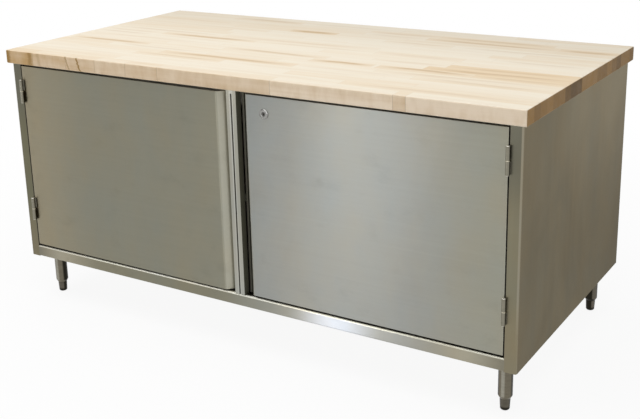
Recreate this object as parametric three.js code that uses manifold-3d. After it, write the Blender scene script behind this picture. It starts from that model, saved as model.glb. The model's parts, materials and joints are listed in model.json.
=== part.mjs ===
// Workbench with cabinet doors: a maple butcher-block top on a stainless steel cabinet
// with two hinged doors, standing on round legs with screw-in bullet feet.
// Millimetres, +Z up, +X along the length to the right, +Y to the back.
// The origin is on the floor under the middle of the worktop.

import * as THREE from "three";
import { mergeVertices } from "three/addons/utils/BufferGeometryUtils.js";
import Module from "manifold-3d";

const wasm = await Module();
wasm.setup();

// Driving dimensions: the whole bench
const INCH = 25.4;
const TOP_LENGTH = 72 * INCH;
const TOP_DEPTH = 36 * INCH;
const TOP_THICKNESS = 1.75 * INCH;
const TOP_EASED_EDGE = 4;
const OVERHANG = 0.5 * INCH;
const CABINET_HEIGHT = 27 * INCH;
const LEG_HEIGHT = 6 * INCH;

// Driving dimensions: sheet metal
const SHEET = 1.5;
const DOOR_SHEET = 1.2;
const BEND_RADIUS = 1.8;
const SEAM = 0.3;

// Driving dimensions: cabinet frame
const STILE_WIDTH = 36.5;
const JAMB_DEPTH = 24;
const REAR_FLANGE = 25;
const BOTTOM_RAIL_HEIGHT = 1.5625 * INCH;
const BOTTOM_RAIL_BEND = 4.5;
const BOTTOM_RAIL_LEDGE = 30;
const BOTTOM_RAIL_RETURN = 20;
const TOP_RAIL_DROP = 46;
const TOP_RAIL_FLANGE = 40;
const MULLION_WIDTH = 36;
const MULLION_GROOVE_WIDTH = 4;
const MULLION_GROOVE_DEPTH = 12;
const MULLION_CAP_HEIGHT = 12.5;
const FLOOR_FLANGE = 36;
const CHANNEL_X = 450;
const CHANNEL_DROP = 30;
const CHANNEL_WEB = 40;
const CHANNEL_FLANGE = 16;

// Driving dimensions: inner shelf
const SHELF_HEIGHT = 500;
const SHELF_SETBACK = 60;
const SHELF_FLANGE = 25;
const BRACKET_LEG = 22;

// Driving dimensions: doors, whose free edge is bent back at 45 degrees as a pull
const DOOR_HINGE_GAP = 3.2;
const DOOR_TOP_GAP = 7.5;
const DOOR_BOTTOM_GAP = 6.5;
const LEFT_DOOR_SAG = 2.5;
const DOOR_PAN_DEPTH = 20;
const PULL_GAP = 34.5;
const PULL_LIP = 7;

// Driving dimensions: weld-on barrel hinges
const HINGE_LENGTH = 80;
const HINGE_RADIUS = 6;
const HINGE_PROUD = 6.5;
const HINGE_PIN_RADIUS = 3.5;
const HINGE_PIN_CLEARANCE = 0.07;
const HINGE_WASHER = 1.5;
const HINGE_WASHER_RIM = 0.1;
const HINGE_CHAMFER = 1.5;
const HINGE_PIN_TIP_DROP = 9;
const HINGE_BORE_END_DROP = 8;
const WELD_INNER = 2.2;
const WELD_OUTER = 7.2;
const WELD_END_GAP = 3;
const HINGE_UPPER_DROP = 93.5;
const HINGE_LOWER_DROP = 508.5;

// Driving dimensions: key lock on the right door
const LOCK_FROM_PULL = 63.5;
const LOCK_DROP = 60.3;
const LOCK_BEZEL_RADIUS = 15;
const LOCK_BEZEL_PROUD = 3.5;
const LOCK_BEZEL_CHAMFER = 2;
const LOCK_BODY_RADIUS = 9.5;
const LOCK_BODY_DEPTH = 29;
const LOCK_PLUG_RADIUS = 6.5;
const LOCK_PLUG_CLEARANCE = 0.06;
const LOCK_PLUG_RECESS = 0.8;
const LOCK_TAIL_RADIUS = 4;
const LOCK_TAIL_SPARE = 2;
const KEYWAY_WIDTH = 1.8;
const KEYWAY_HEIGHT = 7.2;
const KEYWAY_DEPTH = 5;
const LOCK_NUT_RADIUS = 14;
const LOCK_NUT_THICKNESS = 5.5;
const CAM_REACH = 36;
const CAM_WIDTH = 14;
const CAM_THICKNESS = 2;

// Driving dimensions: legs and feet
const LEG_RADIUS = 0.8125 * INCH;
const LEG_WALL = 1.5;
const LEG_SIDE_INSET = 58;
const LEG_FRONT_REAR_INSET = 73;
const LEG_TAPER = 9;
const LEG_LIP = 0.5;
const LEG_PLUG_HEIGHT = 30;
const FOOT_SHOW = 35;
const FOOT_RADIUS = 15;
const FOOT_BASE_RADIUS = 10;
const FOOT_NOSE_RADIUS = 13;
const FOOT_NOSE_HEIGHT = 2.5;
const FOOT_CURVE_RADIUS = 14.2;
const FOOT_CURVE_HEIGHT = 7;
const FOOT_STEM_RADIUS = 8;
const FOOT_STEM_LENGTH = 60;
const FOOT_STEM_CLEARANCE = 0.1;
const SOCKET_FLANGE_RADIUS = 38;
const SOCKET_WALL = 5;
const SOCKET_PLATE = 4;

// Driving dimensions: small fittings
const SCREW_SHANK_RADIUS = 2.4;
const SCREW_HEAD_RADIUS = 5.5;
const SCREW_HEAD_HEIGHT = 3.5;
const SCREW_INTO_WOOD = 30;
const SCREW_Y = 250;
const CATCH_FROM_CENTRE = 80;
const CATCH_WIDTH = 40;
const CATCH_HEIGHT = 15;
const CATCH_DEPTH = 16;
const CATCH_CORNER = 4;
const STRIKE_HEIGHT = 10;
const STRIKE_INSET = 3;
const BUMPER_RADIUS = 6;
const BUMPER_FROM_CENTRE = [150, 790];
const BUMPER_DROP = 22;

// Number of sides of round pieces
const ROUND = 24;
const FINE_ROUND = 32;
const SMALL_ROUND = 12;

// Places worked out from the driving dimensions
const SIDE_X = TOP_LENGTH / 2 - OVERHANG;
const FRONT_Y = -TOP_DEPTH / 2 + OVERHANG;
const BACK_Y = -FRONT_Y;
const CABINET_BOTTOM = LEG_HEIGHT;
const CABINET_TOP = CABINET_BOTTOM + CABINET_HEIGHT;
const FRAME_TOP = CABINET_TOP - SEAM;
const FLOOR_TOP = CABINET_BOTTOM + BOTTOM_RAIL_HEIGHT;
const INNER_SIDE_X = SIDE_X - SHEET - SEAM;
const BACK_PANEL_Y = BACK_Y - SHEET - SEAM;
const INNER_BACK_Y = BACK_PANEL_Y - SHEET - SEAM;
const JAMB_X = SIDE_X - STILE_WIDTH;
const FLOOR_FRONT_Y = FRONT_Y + BOTTOM_RAIL_LEDGE + SEAM;
const SHELF_FRONT_Y = FRONT_Y + SHELF_SETBACK;
const TOP_RAIL_Y = FRONT_Y + JAMB_DEPTH + SEAM;
const DOOR_BOTTOM = FLOOR_TOP + DOOR_BOTTOM_GAP;
const DOOR_TOP = CABINET_TOP - DOOR_TOP_GAP;
const DOOR_HINGE_X = JAMB_X - DOOR_HINGE_GAP;
const DOOR_BEND_X = MULLION_WIDTH / 2 + PULL_GAP;
const LINER_DEPTH = DOOR_PAN_DEPTH + SEAM;
const DOOR_BACK_DEPTH = LINER_DEPTH + DOOR_SHEET;
const HINGE_X = JAMB_X - DOOR_HINGE_GAP / 2;
const HINGE_Y = FRONT_Y - HINGE_PROUD;
const LOCK_X = DOOR_BEND_X + LOCK_FROM_PULL;
const LOCK_Z = CABINET_TOP - LOCK_DROP;
const CHANNEL_TOP = FRAME_TOP - SHEET - SEAM;
const SCREW_X = CHANNEL_WEB / 2 + CHANNEL_FLANGE / 2 + SHEET / 2;

// Finishes, by colour, roughness and metalness
const STEEL = { color: 0x8f8d82, roughness: 0.38, metalness: 0.9 };
const BRIGHT_STEEL = { color: 0xb4b2aa, roughness: 0.25, metalness: 1.0 };
const DARK_STEEL = { color: 0x4c4a44, roughness: 0.4, metalness: 0.9 };
const MAPLE = { color: 0xe9d9ba, roughness: 0.55, metalness: 0.0 };
const BRASS = { color: 0xc8ad6a, roughness: 0.3, metalness: 1.0 };
const BLACK_RUBBER = { color: 0x1c1c1c, roughness: 0.9, metalness: 0.0 };
const CATCH_PLASTIC = { color: 0x2a2a2a, roughness: 0.6, metalness: 0.0 };

// A named piece with its own material
function piece(name, geometry, finish) {
  const mesh = new THREE.Mesh(geometry, new THREE.MeshStandardMaterial(finish));
  mesh.name = name;
  return mesh;
}

// A closed geometry as a solid that can be joined or cut
function toSolid(geometry) {
  const bare = geometry.clone();
  bare.deleteAttribute("normal");
  bare.deleteAttribute("uv");
  const merged = mergeVertices(bare, 1e-4);
  const vertProperties = new Float32Array(merged.attributes.position.array);
  const triVerts = new Uint32Array(merged.index.array);
  return new wasm.Manifold(new wasm.Mesh({ numProp: 3, vertProperties, triVerts }));
}

// A solid as a flat-shaded geometry
function toGeometry(solid) {
  const mesh = solid.getMesh();
  const indexed = new THREE.BufferGeometry();
  indexed.setAttribute("position", new THREE.BufferAttribute(mesh.vertProperties, 3));
  indexed.setIndex(new THREE.BufferAttribute(mesh.triVerts, 1));
  const geometry = indexed.toNonIndexed();
  geometry.computeVertexNormals();
  return geometry;
}

function join(first, ...others) {
  return toGeometry(others.reduce((sum, other) => sum.add(toSolid(other)), toSolid(first)));
}

function cut(body, ...tools) {
  return toGeometry(tools.reduce((rest, tool) => rest.subtract(toSolid(tool)), toSolid(body)));
}

// A box between two corners
function block(low, high) {
  const size = high.map((value, axis) => value - low[axis]);
  const geometry = new THREE.BoxGeometry(...size);
  return geometry.translate(...low.map((value, axis) => value + size[axis] / 2));
}

function shapeOf(outline) {
  return new THREE.Shape(outline.map(([u, v]) => new THREE.Vector2(u, v)));
}

function extrude(shape, depth) {
  return new THREE.ExtrudeGeometry(shape, { depth, bevelEnabled: false, curveSegments: ROUND / 2 });
}

// An outline in x and y, drawn out along Z
function prismZ(outline, z0, z1) {
  return extrude(shapeOf(outline), z1 - z0).translate(0, 0, z0);
}

// An outline in y and z, drawn out along X
function prismX(outline, x0, x1) {
  const turn = new THREE.Matrix4().makeBasis(
    new THREE.Vector3(0, 1, 0),
    new THREE.Vector3(0, 0, 1),
    new THREE.Vector3(1, 0, 0),
  );
  return extrude(shapeOf(outline), x1 - x0).applyMatrix4(turn).translate(x0, 0, 0);
}

// An outline in x and z, drawn out along Y
function prismY(outline, y0, y1) {
  const turn = new THREE.Matrix4().makeBasis(
    new THREE.Vector3(1, 0, 0),
    new THREE.Vector3(0, 0, 1),
    new THREE.Vector3(0, -1, 0),
  );
  return extrude(shapeOf(outline), y1 - y0).applyMatrix4(turn).translate(0, y1, 0);
}

// A round piece about Z, from a profile of radius and height
function turned(profile, sides) {
  const points = profile.map(([radius, height]) => new THREE.Vector2(radius, height));
  return new THREE.LatheGeometry(points, sides).rotateX(Math.PI / 2);
}

// A round piece whose profile goes round a bore
function turnedRing(profile, sides) {
  return turned([...profile, profile[0]], sides);
}

function rod(radius, z0, z1, sides) {
  return new THREE.CylinderGeometry(radius, radius, z1 - z0, sides)
    .rotateX(Math.PI / 2)
    .translate(0, 0, (z0 + z1) / 2);
}

// The unit vector from one point to another
function heading([u0, v0], [u1, v1]) {
  const length = Math.hypot(u1 - u0, v1 - v0);
  return [(u1 - u0) / length, (v1 - v0) / length];
}

// A path with each inner corner replaced by three points of its bend
function bent(path, radius) {
  const points = [path[0]];
  for (let i = 1; i < path.length - 1; i += 1) {
    const [corner, before, after] = [path[i], heading(path[i], path[i - 1]), heading(path[i], path[i + 1])];
    const opening = Math.acos(before[0] * after[0] + before[1] * after[1]);
    const reach = radius / Math.tan(opening / 2);
    const middle = heading([0, 0], [before[0] + after[0], before[1] + after[1]]);
    const sag = radius / Math.sin(opening / 2) - radius;
    points.push([corner[0] + before[0] * reach, corner[1] + before[1] * reach]);
    points.push([corner[0] + middle[0] * sag, corner[1] + middle[1] * sag]);
    points.push([corner[0] + after[0] * reach, corner[1] + after[1] * reach]);
  }
  points.push(path.at(-1));
  return points;
}

// The outline of a folded sheet whose outer face follows the path, with the metal on the path's left
function foldedSheet(path, gauge, radius = BEND_RADIUS) {
  const outer = bent(path, radius);
  const inner = outer.map((point, i) => {
    const into = heading(outer[Math.max(i - 1, 0)], outer[Math.max(i, 1)]);
    const onward = heading(outer[Math.min(i, outer.length - 2)], outer[Math.min(i + 1, outer.length - 1)]);
    const share = gauge / (1 + into[0] * onward[0] + into[1] * onward[1]);
    return [point[0] - (into[1] + onward[1]) * share, point[1] + (into[0] + onward[0]) * share];
  });
  return [...outer, ...inner.reverse()];
}

// An outline drawn for the right-hand side, put on either side
function onSide(outline, side) {
  return outline.map(([x, other]) => [side * x, other]);
}

// Worktop with eased arrises and a pilot hole for each screw
function mapleTop() {
  const inset = TOP_EASED_EDGE;
  const [halfLength, halfDepth] = [TOP_LENGTH / 2 - inset, TOP_DEPTH / 2 - inset];
  const plan = shapeOf([
    [-halfLength, -halfDepth],
    [halfLength, -halfDepth],
    [halfLength, halfDepth],
    [-halfLength, halfDepth],
  ]);
  const slab = new THREE.ExtrudeGeometry(plan, {
    depth: TOP_THICKNESS - 2 * inset,
    bevelThickness: inset,
    bevelSize: inset,
    bevelSegments: 3,
  }).translate(0, 0, CABINET_TOP + inset);
  const pilotRadius = SCREW_SHANK_RADIUS + SEAM;
  const pilots = screwPlaces().map(([x, y]) =>
    rod(pilotRadius, CABINET_TOP - 1, CABINET_TOP + SCREW_INTO_WOOD + 1, SMALL_ROUND).translate(x, y, 0),
  );
  return cut(slab, ...pilots);
}

// Where screws pass up through the top channels into the worktop
function screwPlaces() {
  const places = [];
  for (const side of [-1, 1]) {
    for (const y of [-SCREW_Y, SCREW_Y]) places.push([side * (CHANNEL_X + SCREW_X), y]);
  }
  return places;
}

function topScrew() {
  const under = CHANNEL_TOP - SHEET - SEAM;
  const tip = CABINET_TOP + SCREW_INTO_WOOD;
  return turned(
    [
      [0, under - SCREW_HEAD_HEIGHT],
      [SCREW_HEAD_RADIUS * 0.7, under - SCREW_HEAD_HEIGHT],
      [SCREW_HEAD_RADIUS, under - SCREW_HEAD_HEIGHT / 2],
      [SCREW_HEAD_RADIUS, under],
      [SCREW_SHANK_RADIUS, under],
      [SCREW_SHANK_RADIUS, tip - 2 * SCREW_SHANK_RADIUS],
      [0, tip],
    ],
    SMALL_ROUND,
  );
}

// End sheet, folded into the stile and the door jamb in front and a flange behind
function endPanel(side) {
  const path = [
    [JAMB_X, FRONT_Y + JAMB_DEPTH],
    [JAMB_X, FRONT_Y],
    [SIDE_X, FRONT_Y],
    [SIDE_X, BACK_Y],
    [SIDE_X - REAR_FLANGE, BACK_Y],
  ];
  return prismZ(onSide(foldedSheet(path, SHEET), side), CABINET_BOTTOM, FRAME_TOP);
}

function backPanel() {
  return block(
    [-INNER_SIDE_X, BACK_PANEL_Y - SHEET, CABINET_BOTTOM],
    [INNER_SIDE_X, BACK_PANEL_Y, FRAME_TOP],
  );
}

// A flat tray with its front and back edges turned down
function tray(front, back, top, flange) {
  const path = [
    [back, top - flange],
    [back, top],
    [front, top],
    [front, top - flange],
  ];
  return prismX(foldedSheet(path, SHEET), -INNER_SIDE_X, INNER_SIDE_X);
}

function shelfBracket(side) {
  const top = SHELF_HEIGHT - SHEET - SEAM;
  const path = [
    [INNER_SIDE_X, top - BRACKET_LEG],
    [INNER_SIDE_X, top],
    [INNER_SIDE_X - BRACKET_LEG, top],
  ];
  const clear = SHEET + BEND_RADIUS + SHEET;
  return prismY(onSide(foldedSheet(path, SHEET), side), SHELF_FRONT_Y + clear, INNER_BACK_Y - clear);
}

function bottomRail() {
  const path = [
    [FRONT_Y + BOTTOM_RAIL_LEDGE, FLOOR_TOP],
    [FRONT_Y, FLOOR_TOP],
    [FRONT_Y, CABINET_BOTTOM],
    [FRONT_Y + BOTTOM_RAIL_RETURN, CABINET_BOTTOM],
  ];
  return prismX(foldedSheet(path, SHEET, BOTTOM_RAIL_BEND), -JAMB_X + SEAM, JAMB_X - SEAM);
}

// Angle under the worktop, its upright leg behind the doors or along the back
function topRail(face, inwards) {
  const path = [
    [face + inwards * TOP_RAIL_FLANGE, FRAME_TOP],
    [face, FRAME_TOP],
    [face, FRAME_TOP - TOP_RAIL_DROP],
  ];
  const gaugeSide = inwards > 0 ? path : path.reverse();
  return prismX(foldedSheet(gaugeSide, SHEET), -INNER_SIDE_X, INNER_SIDE_X);
}

// Fixed post between the doors: two folded strips with a groove between them, joined at the top
function centreMullion() {
  const half = MULLION_WIDTH / 2;
  const groove = MULLION_GROOVE_WIDTH / 2;
  const path = [
    [-half, FRONT_Y + JAMB_DEPTH],
    [-half, FRONT_Y],
    [-groove, FRONT_Y],
    [-groove, FRONT_Y + MULLION_GROOVE_DEPTH],
    [groove, FRONT_Y + MULLION_GROOVE_DEPTH],
    [groove, FRONT_Y],
    [half, FRONT_Y],
    [half, FRONT_Y + JAMB_DEPTH],
  ];
  const post = prismZ(foldedSheet(path, SHEET), FLOOR_TOP + SEAM, FRAME_TOP);
  const capHalf = groove + BEND_RADIUS;
  const cap = block(
    [-capHalf, FRONT_Y, FRAME_TOP - MULLION_CAP_HEIGHT],
    [capHalf, FRONT_Y + SHEET, FRAME_TOP],
  );
  return join(post, cap);
}

// Hat-section channel from front to back under the worktop, with its screw holes
function topChannel(side) {
  const web = CHANNEL_WEB / 2;
  const flange = web + CHANNEL_FLANGE;
  const section = foldedSheet(
    [
      [flange, CHANNEL_TOP],
      [web, CHANNEL_TOP],
      [web, CHANNEL_TOP - CHANNEL_DROP],
      [-web, CHANNEL_TOP - CHANNEL_DROP],
      [-web, CHANNEL_TOP],
      [-flange, CHANNEL_TOP],
    ],
    SHEET,
  );
  const front = TOP_RAIL_Y + SHEET + BEND_RADIUS;
  const back = INNER_BACK_Y - SHEET - BEND_RADIUS;
  const channel = prismY(section, front, back).translate(side * CHANNEL_X, 0, 0);
  const pilotRadius = SCREW_SHANK_RADIUS + SEAM;
  const holes = screwPlaces()
    .filter(([x]) => x * side > 0)
    .map(([x, y]) =>
      rod(pilotRadius, CHANNEL_TOP - 2 * SHEET, CHANNEL_TOP + SHEET, SMALL_ROUND).translate(x, y, 0),
    );
  return cut(channel, ...holes);
}

// Outer door pan: face, hinge edge, top and bottom edges, and the bevelled pull
function doorSkin(side) {
  const back = FRONT_Y + DOOR_PAN_DEPTH;
  const face = bent(
    [
      [DOOR_HINGE_X, back],
      [DOOR_HINGE_X, FRONT_Y],
      [DOOR_BEND_X, FRONT_Y],
      [DOOR_BEND_X - DOOR_PAN_DEPTH, back],
    ],
    BEND_RADIUS,
  );
  const reach = 1;
  const bevelInset = DOOR_SHEET * Math.SQRT2;
  const hollow = [
    [DOOR_HINGE_X - DOOR_SHEET, back + reach],
    [DOOR_HINGE_X - DOOR_SHEET, FRONT_Y + DOOR_SHEET],
    [DOOR_BEND_X - DOOR_SHEET + bevelInset, FRONT_Y + DOOR_SHEET],
    [DOOR_BEND_X - DOOR_PAN_DEPTH - reach + bevelInset, back + reach],
  ];
  const outside = prismZ(onSide(face, side), DOOR_BOTTOM, DOOR_TOP);
  const inside = prismZ(onSide(hollow, side), DOOR_BOTTOM + DOOR_SHEET, DOOR_TOP - DOOR_SHEET);
  return cut(outside, inside);
}

// Inner door sheet, running past the bevel as the lip of the pull
function doorLiner(side) {
  const free = DOOR_BEND_X - DOOR_PAN_DEPTH - PULL_LIP;
  const across = [side * free, side * DOOR_HINGE_X].sort((a, b) => a - b);
  return block(
    [across[0], FRONT_Y + LINER_DEPTH, DOOR_BOTTOM],
    [across[1], FRONT_Y + DOOR_BACK_DEPTH, DOOR_TOP],
  );
}

// The left door hangs a little low at its free edge
function sagging(door) {
  const slope = -LEFT_DOOR_SAG / (DOOR_HINGE_X - DOOR_BEND_X);
  const shear = new THREE.Matrix4().makeShear(0, slope, 0, 0, 0, 0);
  return door.applyMatrix4(shear).translate(0, 0, slope * DOOR_HINGE_X);
}

// The hole through the right door that the lock body passes
function lockHole() {
  return rod(LOCK_BODY_RADIUS + SEAM, -LOCK_BODY_DEPTH, LOCK_BODY_DEPTH, FINE_ROUND)
    .rotateX(Math.PI / 2)
    .translate(LOCK_X, FRONT_Y, LOCK_Z);
}

// Lower half of a hinge, welded to the stile, with the pin standing out of it
function frameKnuckle(side) {
  const top = HINGE_LENGTH / 2 - HINGE_WASHER / 2;
  const pinTop = HINGE_LENGTH - HINGE_PIN_TIP_DROP;
  const barrel = turned(
    [
      [0, 0],
      [HINGE_RADIUS - HINGE_CHAMFER, 0],
      [HINGE_RADIUS, HINGE_CHAMFER],
      [HINGE_RADIUS, top],
      [HINGE_PIN_RADIUS, top],
      [HINGE_PIN_RADIUS, pinTop - 1],
      [HINGE_PIN_RADIUS - 1, pinTop],
      [0, pinTop],
    ],
    ROUND,
  );
  return join(barrel, weldPad(side, WELD_END_GAP, top - WELD_END_GAP));
}

// Upper half of a hinge, welded to the door, with a blind bore for the pin
function doorKnuckle(side) {
  const bottom = HINGE_LENGTH / 2 + HINGE_WASHER / 2 + SEAM;
  const bore = HINGE_PIN_RADIUS + HINGE_PIN_CLEARANCE;
  const boreTop = HINGE_LENGTH - HINGE_BORE_END_DROP;
  const barrel = turned(
    [
      [0, boreTop],
      [bore, boreTop],
      [bore, bottom],
      [HINGE_RADIUS, bottom],
      [HINGE_RADIUS, HINGE_LENGTH - HINGE_CHAMFER],
      [HINGE_RADIUS - HINGE_CHAMFER, HINGE_LENGTH],
      [0, HINGE_LENGTH],
    ],
    ROUND,
  );
  return join(barrel, weldPad(-side, bottom + WELD_END_GAP, HINGE_LENGTH - WELD_END_GAP));
}

// Weld that fills the corner between a barrel and the sheet behind it
function weldPad(side, z0, z1) {
  const outline = [
    [WELD_INNER, HINGE_RADIUS - HINGE_CHAMFER],
    [HINGE_RADIUS - HINGE_CHAMFER, WELD_INNER],
    [WELD_OUTER, HINGE_PROUD - SEAM],
    [WELD_INNER, HINGE_PROUD - SEAM],
  ];
  return prismZ(onSide(outline, side), z0, z1);
}

function hingeWasher() {
  const bottom = HINGE_LENGTH / 2 - HINGE_WASHER / 2;
  const [bore, rim] = [HINGE_PIN_RADIUS + HINGE_PIN_CLEARANCE, HINGE_RADIUS + HINGE_WASHER_RIM];
  return turnedRing(
    [
      [bore, bottom],
      [rim, bottom],
      [rim, bottom + HINGE_WASHER],
      [bore, bottom + HINGE_WASHER],
    ],
    ROUND,
  );
}

// Lock pieces lie along their own Z, which points out of the door
function lockHousing() {
  const bore = LOCK_PLUG_RADIUS + LOCK_PLUG_CLEARANCE;
  return turnedRing(
    [
      [bore, -LOCK_BODY_DEPTH],
      [LOCK_BODY_RADIUS, -LOCK_BODY_DEPTH],
      [LOCK_BODY_RADIUS, SEAM],
      [LOCK_BEZEL_RADIUS, SEAM],
      [LOCK_BEZEL_RADIUS, LOCK_BEZEL_PROUD / 2],
      [LOCK_BEZEL_RADIUS - LOCK_BEZEL_CHAMFER, LOCK_BEZEL_PROUD],
      [bore + LOCK_BEZEL_CHAMFER, LOCK_BEZEL_PROUD],
      [bore, LOCK_BEZEL_PROUD - LOCK_PLUG_RECESS],
    ],
    FINE_ROUND,
  );
}

function lockNut() {
  const hexagon = new THREE.Shape();
  for (let corner = 0; corner < 6; corner += 1) {
    const angle = (corner * Math.PI) / 3;
    const at = [LOCK_NUT_RADIUS * Math.cos(angle), LOCK_NUT_RADIUS * Math.sin(angle)];
    if (corner === 0) hexagon.moveTo(...at);
    else hexagon.lineTo(...at);
  }
  hexagon.holes.push(new THREE.Path().absarc(0, 0, LOCK_BODY_RADIUS + SEAM, 0, 2 * Math.PI, true));
  return extrude(hexagon, LOCK_NUT_THICKNESS).translate(0, 0, -DOOR_BACK_DEPTH - SEAM - LOCK_NUT_THICKNESS);
}

function lockPlug() {
  const front = LOCK_BEZEL_PROUD - LOCK_PLUG_RECESS;
  const shoulder = -LOCK_BODY_DEPTH - SEAM;
  const tail = shoulder - CAM_THICKNESS - LOCK_TAIL_SPARE;
  const core = turned(
    [
      [0, tail],
      [LOCK_TAIL_RADIUS, tail],
      [LOCK_TAIL_RADIUS, shoulder],
      [LOCK_PLUG_RADIUS, shoulder],
      [LOCK_PLUG_RADIUS, front],
      [0, front],
    ],
    FINE_ROUND,
  );
  const keyway = block(
    [-KEYWAY_WIDTH / 2, -KEYWAY_HEIGHT / 2, front - KEYWAY_DEPTH],
    [KEYWAY_WIDTH / 2, KEYWAY_HEIGHT / 2, front + KEYWAY_DEPTH],
  );
  return cut(core, keyway);
}

// Flat arm that turns up behind the top rail to lock the door; at rest it lies level
function lockCam() {
  const half = CAM_WIDTH / 2;
  const arm = new THREE.Shape();
  arm.moveTo(0, half);
  arm.lineTo(-CAM_REACH + half, half);
  arm.absarc(-CAM_REACH + half, 0, half, Math.PI / 2, (3 * Math.PI) / 2, false);
  arm.lineTo(0, -half);
  arm.absarc(0, 0, half, -Math.PI / 2, Math.PI / 2, false);
  arm.holes.push(new THREE.Path().absarc(0, 0, LOCK_TAIL_RADIUS + SEAM, 0, 2 * Math.PI, true));
  return extrude(arm, CAM_THICKNESS).translate(0, 0, -LOCK_BODY_DEPTH - 2 * SEAM - CAM_THICKNESS);
}

// Flanged cup welded under the cabinet floor, which takes the head of a leg
function legSocket() {
  const bore = LEG_RADIUS + SEAM;
  const top = FLOOR_TOP - SHEET - SEAM;
  return turnedRing(
    [
      [bore, CABINET_BOTTOM + SOCKET_PLATE],
      [bore + SOCKET_WALL, CABINET_BOTTOM + SOCKET_PLATE],
      [bore + SOCKET_WALL, top - SOCKET_PLATE],
      [SOCKET_FLANGE_RADIUS, top - SOCKET_PLATE],
      [SOCKET_FLANGE_RADIUS, top],
      [bore, top],
    ],
    ROUND,
  );
}

// Tube drawn in at its lower end, closed there by a threaded plug
function legTube() {
  const base = FOOT_SHOW + SEAM;
  const head = FLOOR_TOP - SHEET - SEAM;
  const thread = FOOT_STEM_RADIUS + FOOT_STEM_CLEARANCE;
  return turnedRing(
    [
      [thread, base],
      [FOOT_RADIUS + LEG_LIP, base],
      [LEG_RADIUS, base + LEG_TAPER],
      [LEG_RADIUS, head],
      [LEG_RADIUS - LEG_WALL, head],
      [LEG_RADIUS - LEG_WALL, base + LEG_PLUG_HEIGHT],
      [thread, base + LEG_PLUG_HEIGHT],
    ],
    ROUND,
  );
}

// Bullet foot with its threaded stem, screwed fully in
function bulletFoot() {
  const stemTop = FOOT_SHOW + FOOT_STEM_LENGTH;
  return turned(
    [
      [0, 0],
      [FOOT_BASE_RADIUS, 0],
      [FOOT_NOSE_RADIUS, FOOT_NOSE_HEIGHT],
      [FOOT_CURVE_RADIUS, FOOT_CURVE_HEIGHT],
      [FOOT_RADIUS, FOOT_SHOW],
      [FOOT_STEM_RADIUS, FOOT_SHOW],
      [FOOT_STEM_RADIUS, stemTop],
      [0, stemTop],
    ],
    ROUND,
  );
}

// Magnet catch on the ledge behind a door's free edge, with its front corners cut back
function magnetCatch() {
  const half = CATCH_WIDTH / 2;
  const front = FRONT_Y + DOOR_BACK_DEPTH + SEAM + DOOR_SHEET + 2 * SEAM;
  const outline = [
    [-half, front + CATCH_CORNER],
    [-half + CATCH_CORNER, front],
    [half - CATCH_CORNER, front],
    [half, front + CATCH_CORNER],
    [half, front + CATCH_DEPTH],
    [-half, front + CATCH_DEPTH],
  ];
  const base = FLOOR_TOP + SEAM;
  return prismZ(outline, base, base + CATCH_HEIGHT);
}

function strikePlate() {
  const half = CATCH_WIDTH / 2 - STRIKE_INSET;
  const face = FRONT_Y + DOOR_BACK_DEPTH + SEAM;
  const bottom = DOOR_BOTTOM + DOOR_SHEET;
  return block([-half, face, bottom], [half, face + DOOR_SHEET, bottom + STRIKE_HEIGHT]);
}

// Rubber stop on the top rail that the back of a door closes against
function doorBumper() {
  const back = TOP_RAIL_Y - SEAM;
  const front = FRONT_Y + DOOR_BACK_DEPTH + SEAM;
  return rod(BUMPER_RADIUS, 0, back - front, SMALL_ROUND).rotateX(Math.PI / 2).translate(0, back, 0);
}

// Assembly
const bench = new THREE.Group();
const SIDES = [
  ["left", -1],
  ["right", 1],
];

const carcass = new THREE.Group();
bench.add(carcass);
carcass.add(
  piece("maple_top", mapleTop(), MAPLE),
  piece("back_panel", backPanel(), STEEL),
  piece("cabinet_floor", tray(FLOOR_FRONT_Y, INNER_BACK_Y, FLOOR_TOP, FLOOR_FLANGE), STEEL),
  piece("interior_shelf", tray(SHELF_FRONT_Y, INNER_BACK_Y, SHELF_HEIGHT, SHELF_FLANGE), STEEL),
  piece("front_bottom_rail", bottomRail(), STEEL),
  piece("front_top_rail", topRail(TOP_RAIL_Y, 1), STEEL),
  piece("rear_top_rail", topRail(INNER_BACK_Y, -1), STEEL),
  piece("centre_mullion", centreMullion(), STEEL),
);
for (const [word, side] of SIDES) {
  carcass.add(
    piece(`${word}_end_panel`, endPanel(side), STEEL),
    piece(`${word}_shelf_bracket`, shelfBracket(side), STEEL),
    piece(`${word}_top_channel`, topChannel(side), STEEL),
  );
}
screwPlaces().forEach(([x, y], index) => {
  const screw = piece(`top_screw_${index + 1}`, topScrew(), BRIGHT_STEEL);
  screw.position.set(x, y, 0);
  carcass.add(screw);
});

const stand = new THREE.Group();
bench.add(stand);
for (const [endWord, endSide] of [["front", -1], ["rear", 1]]) {
  for (const [word, side] of SIDES) {
    const corner = new THREE.Group();
    corner.position.set(side * (SIDE_X - LEG_SIDE_INSET), endSide * (BACK_Y - LEG_FRONT_REAR_INSET), 0);
    corner.add(
      piece(`${endWord}_${word}_leg_socket`, legSocket(), STEEL),
      piece(`${endWord}_${word}_leg`, legTube(), STEEL),
      piece(`${endWord}_${word}_foot`, bulletFoot(), DARK_STEEL),
    );
    stand.add(corner);
  }
}

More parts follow.
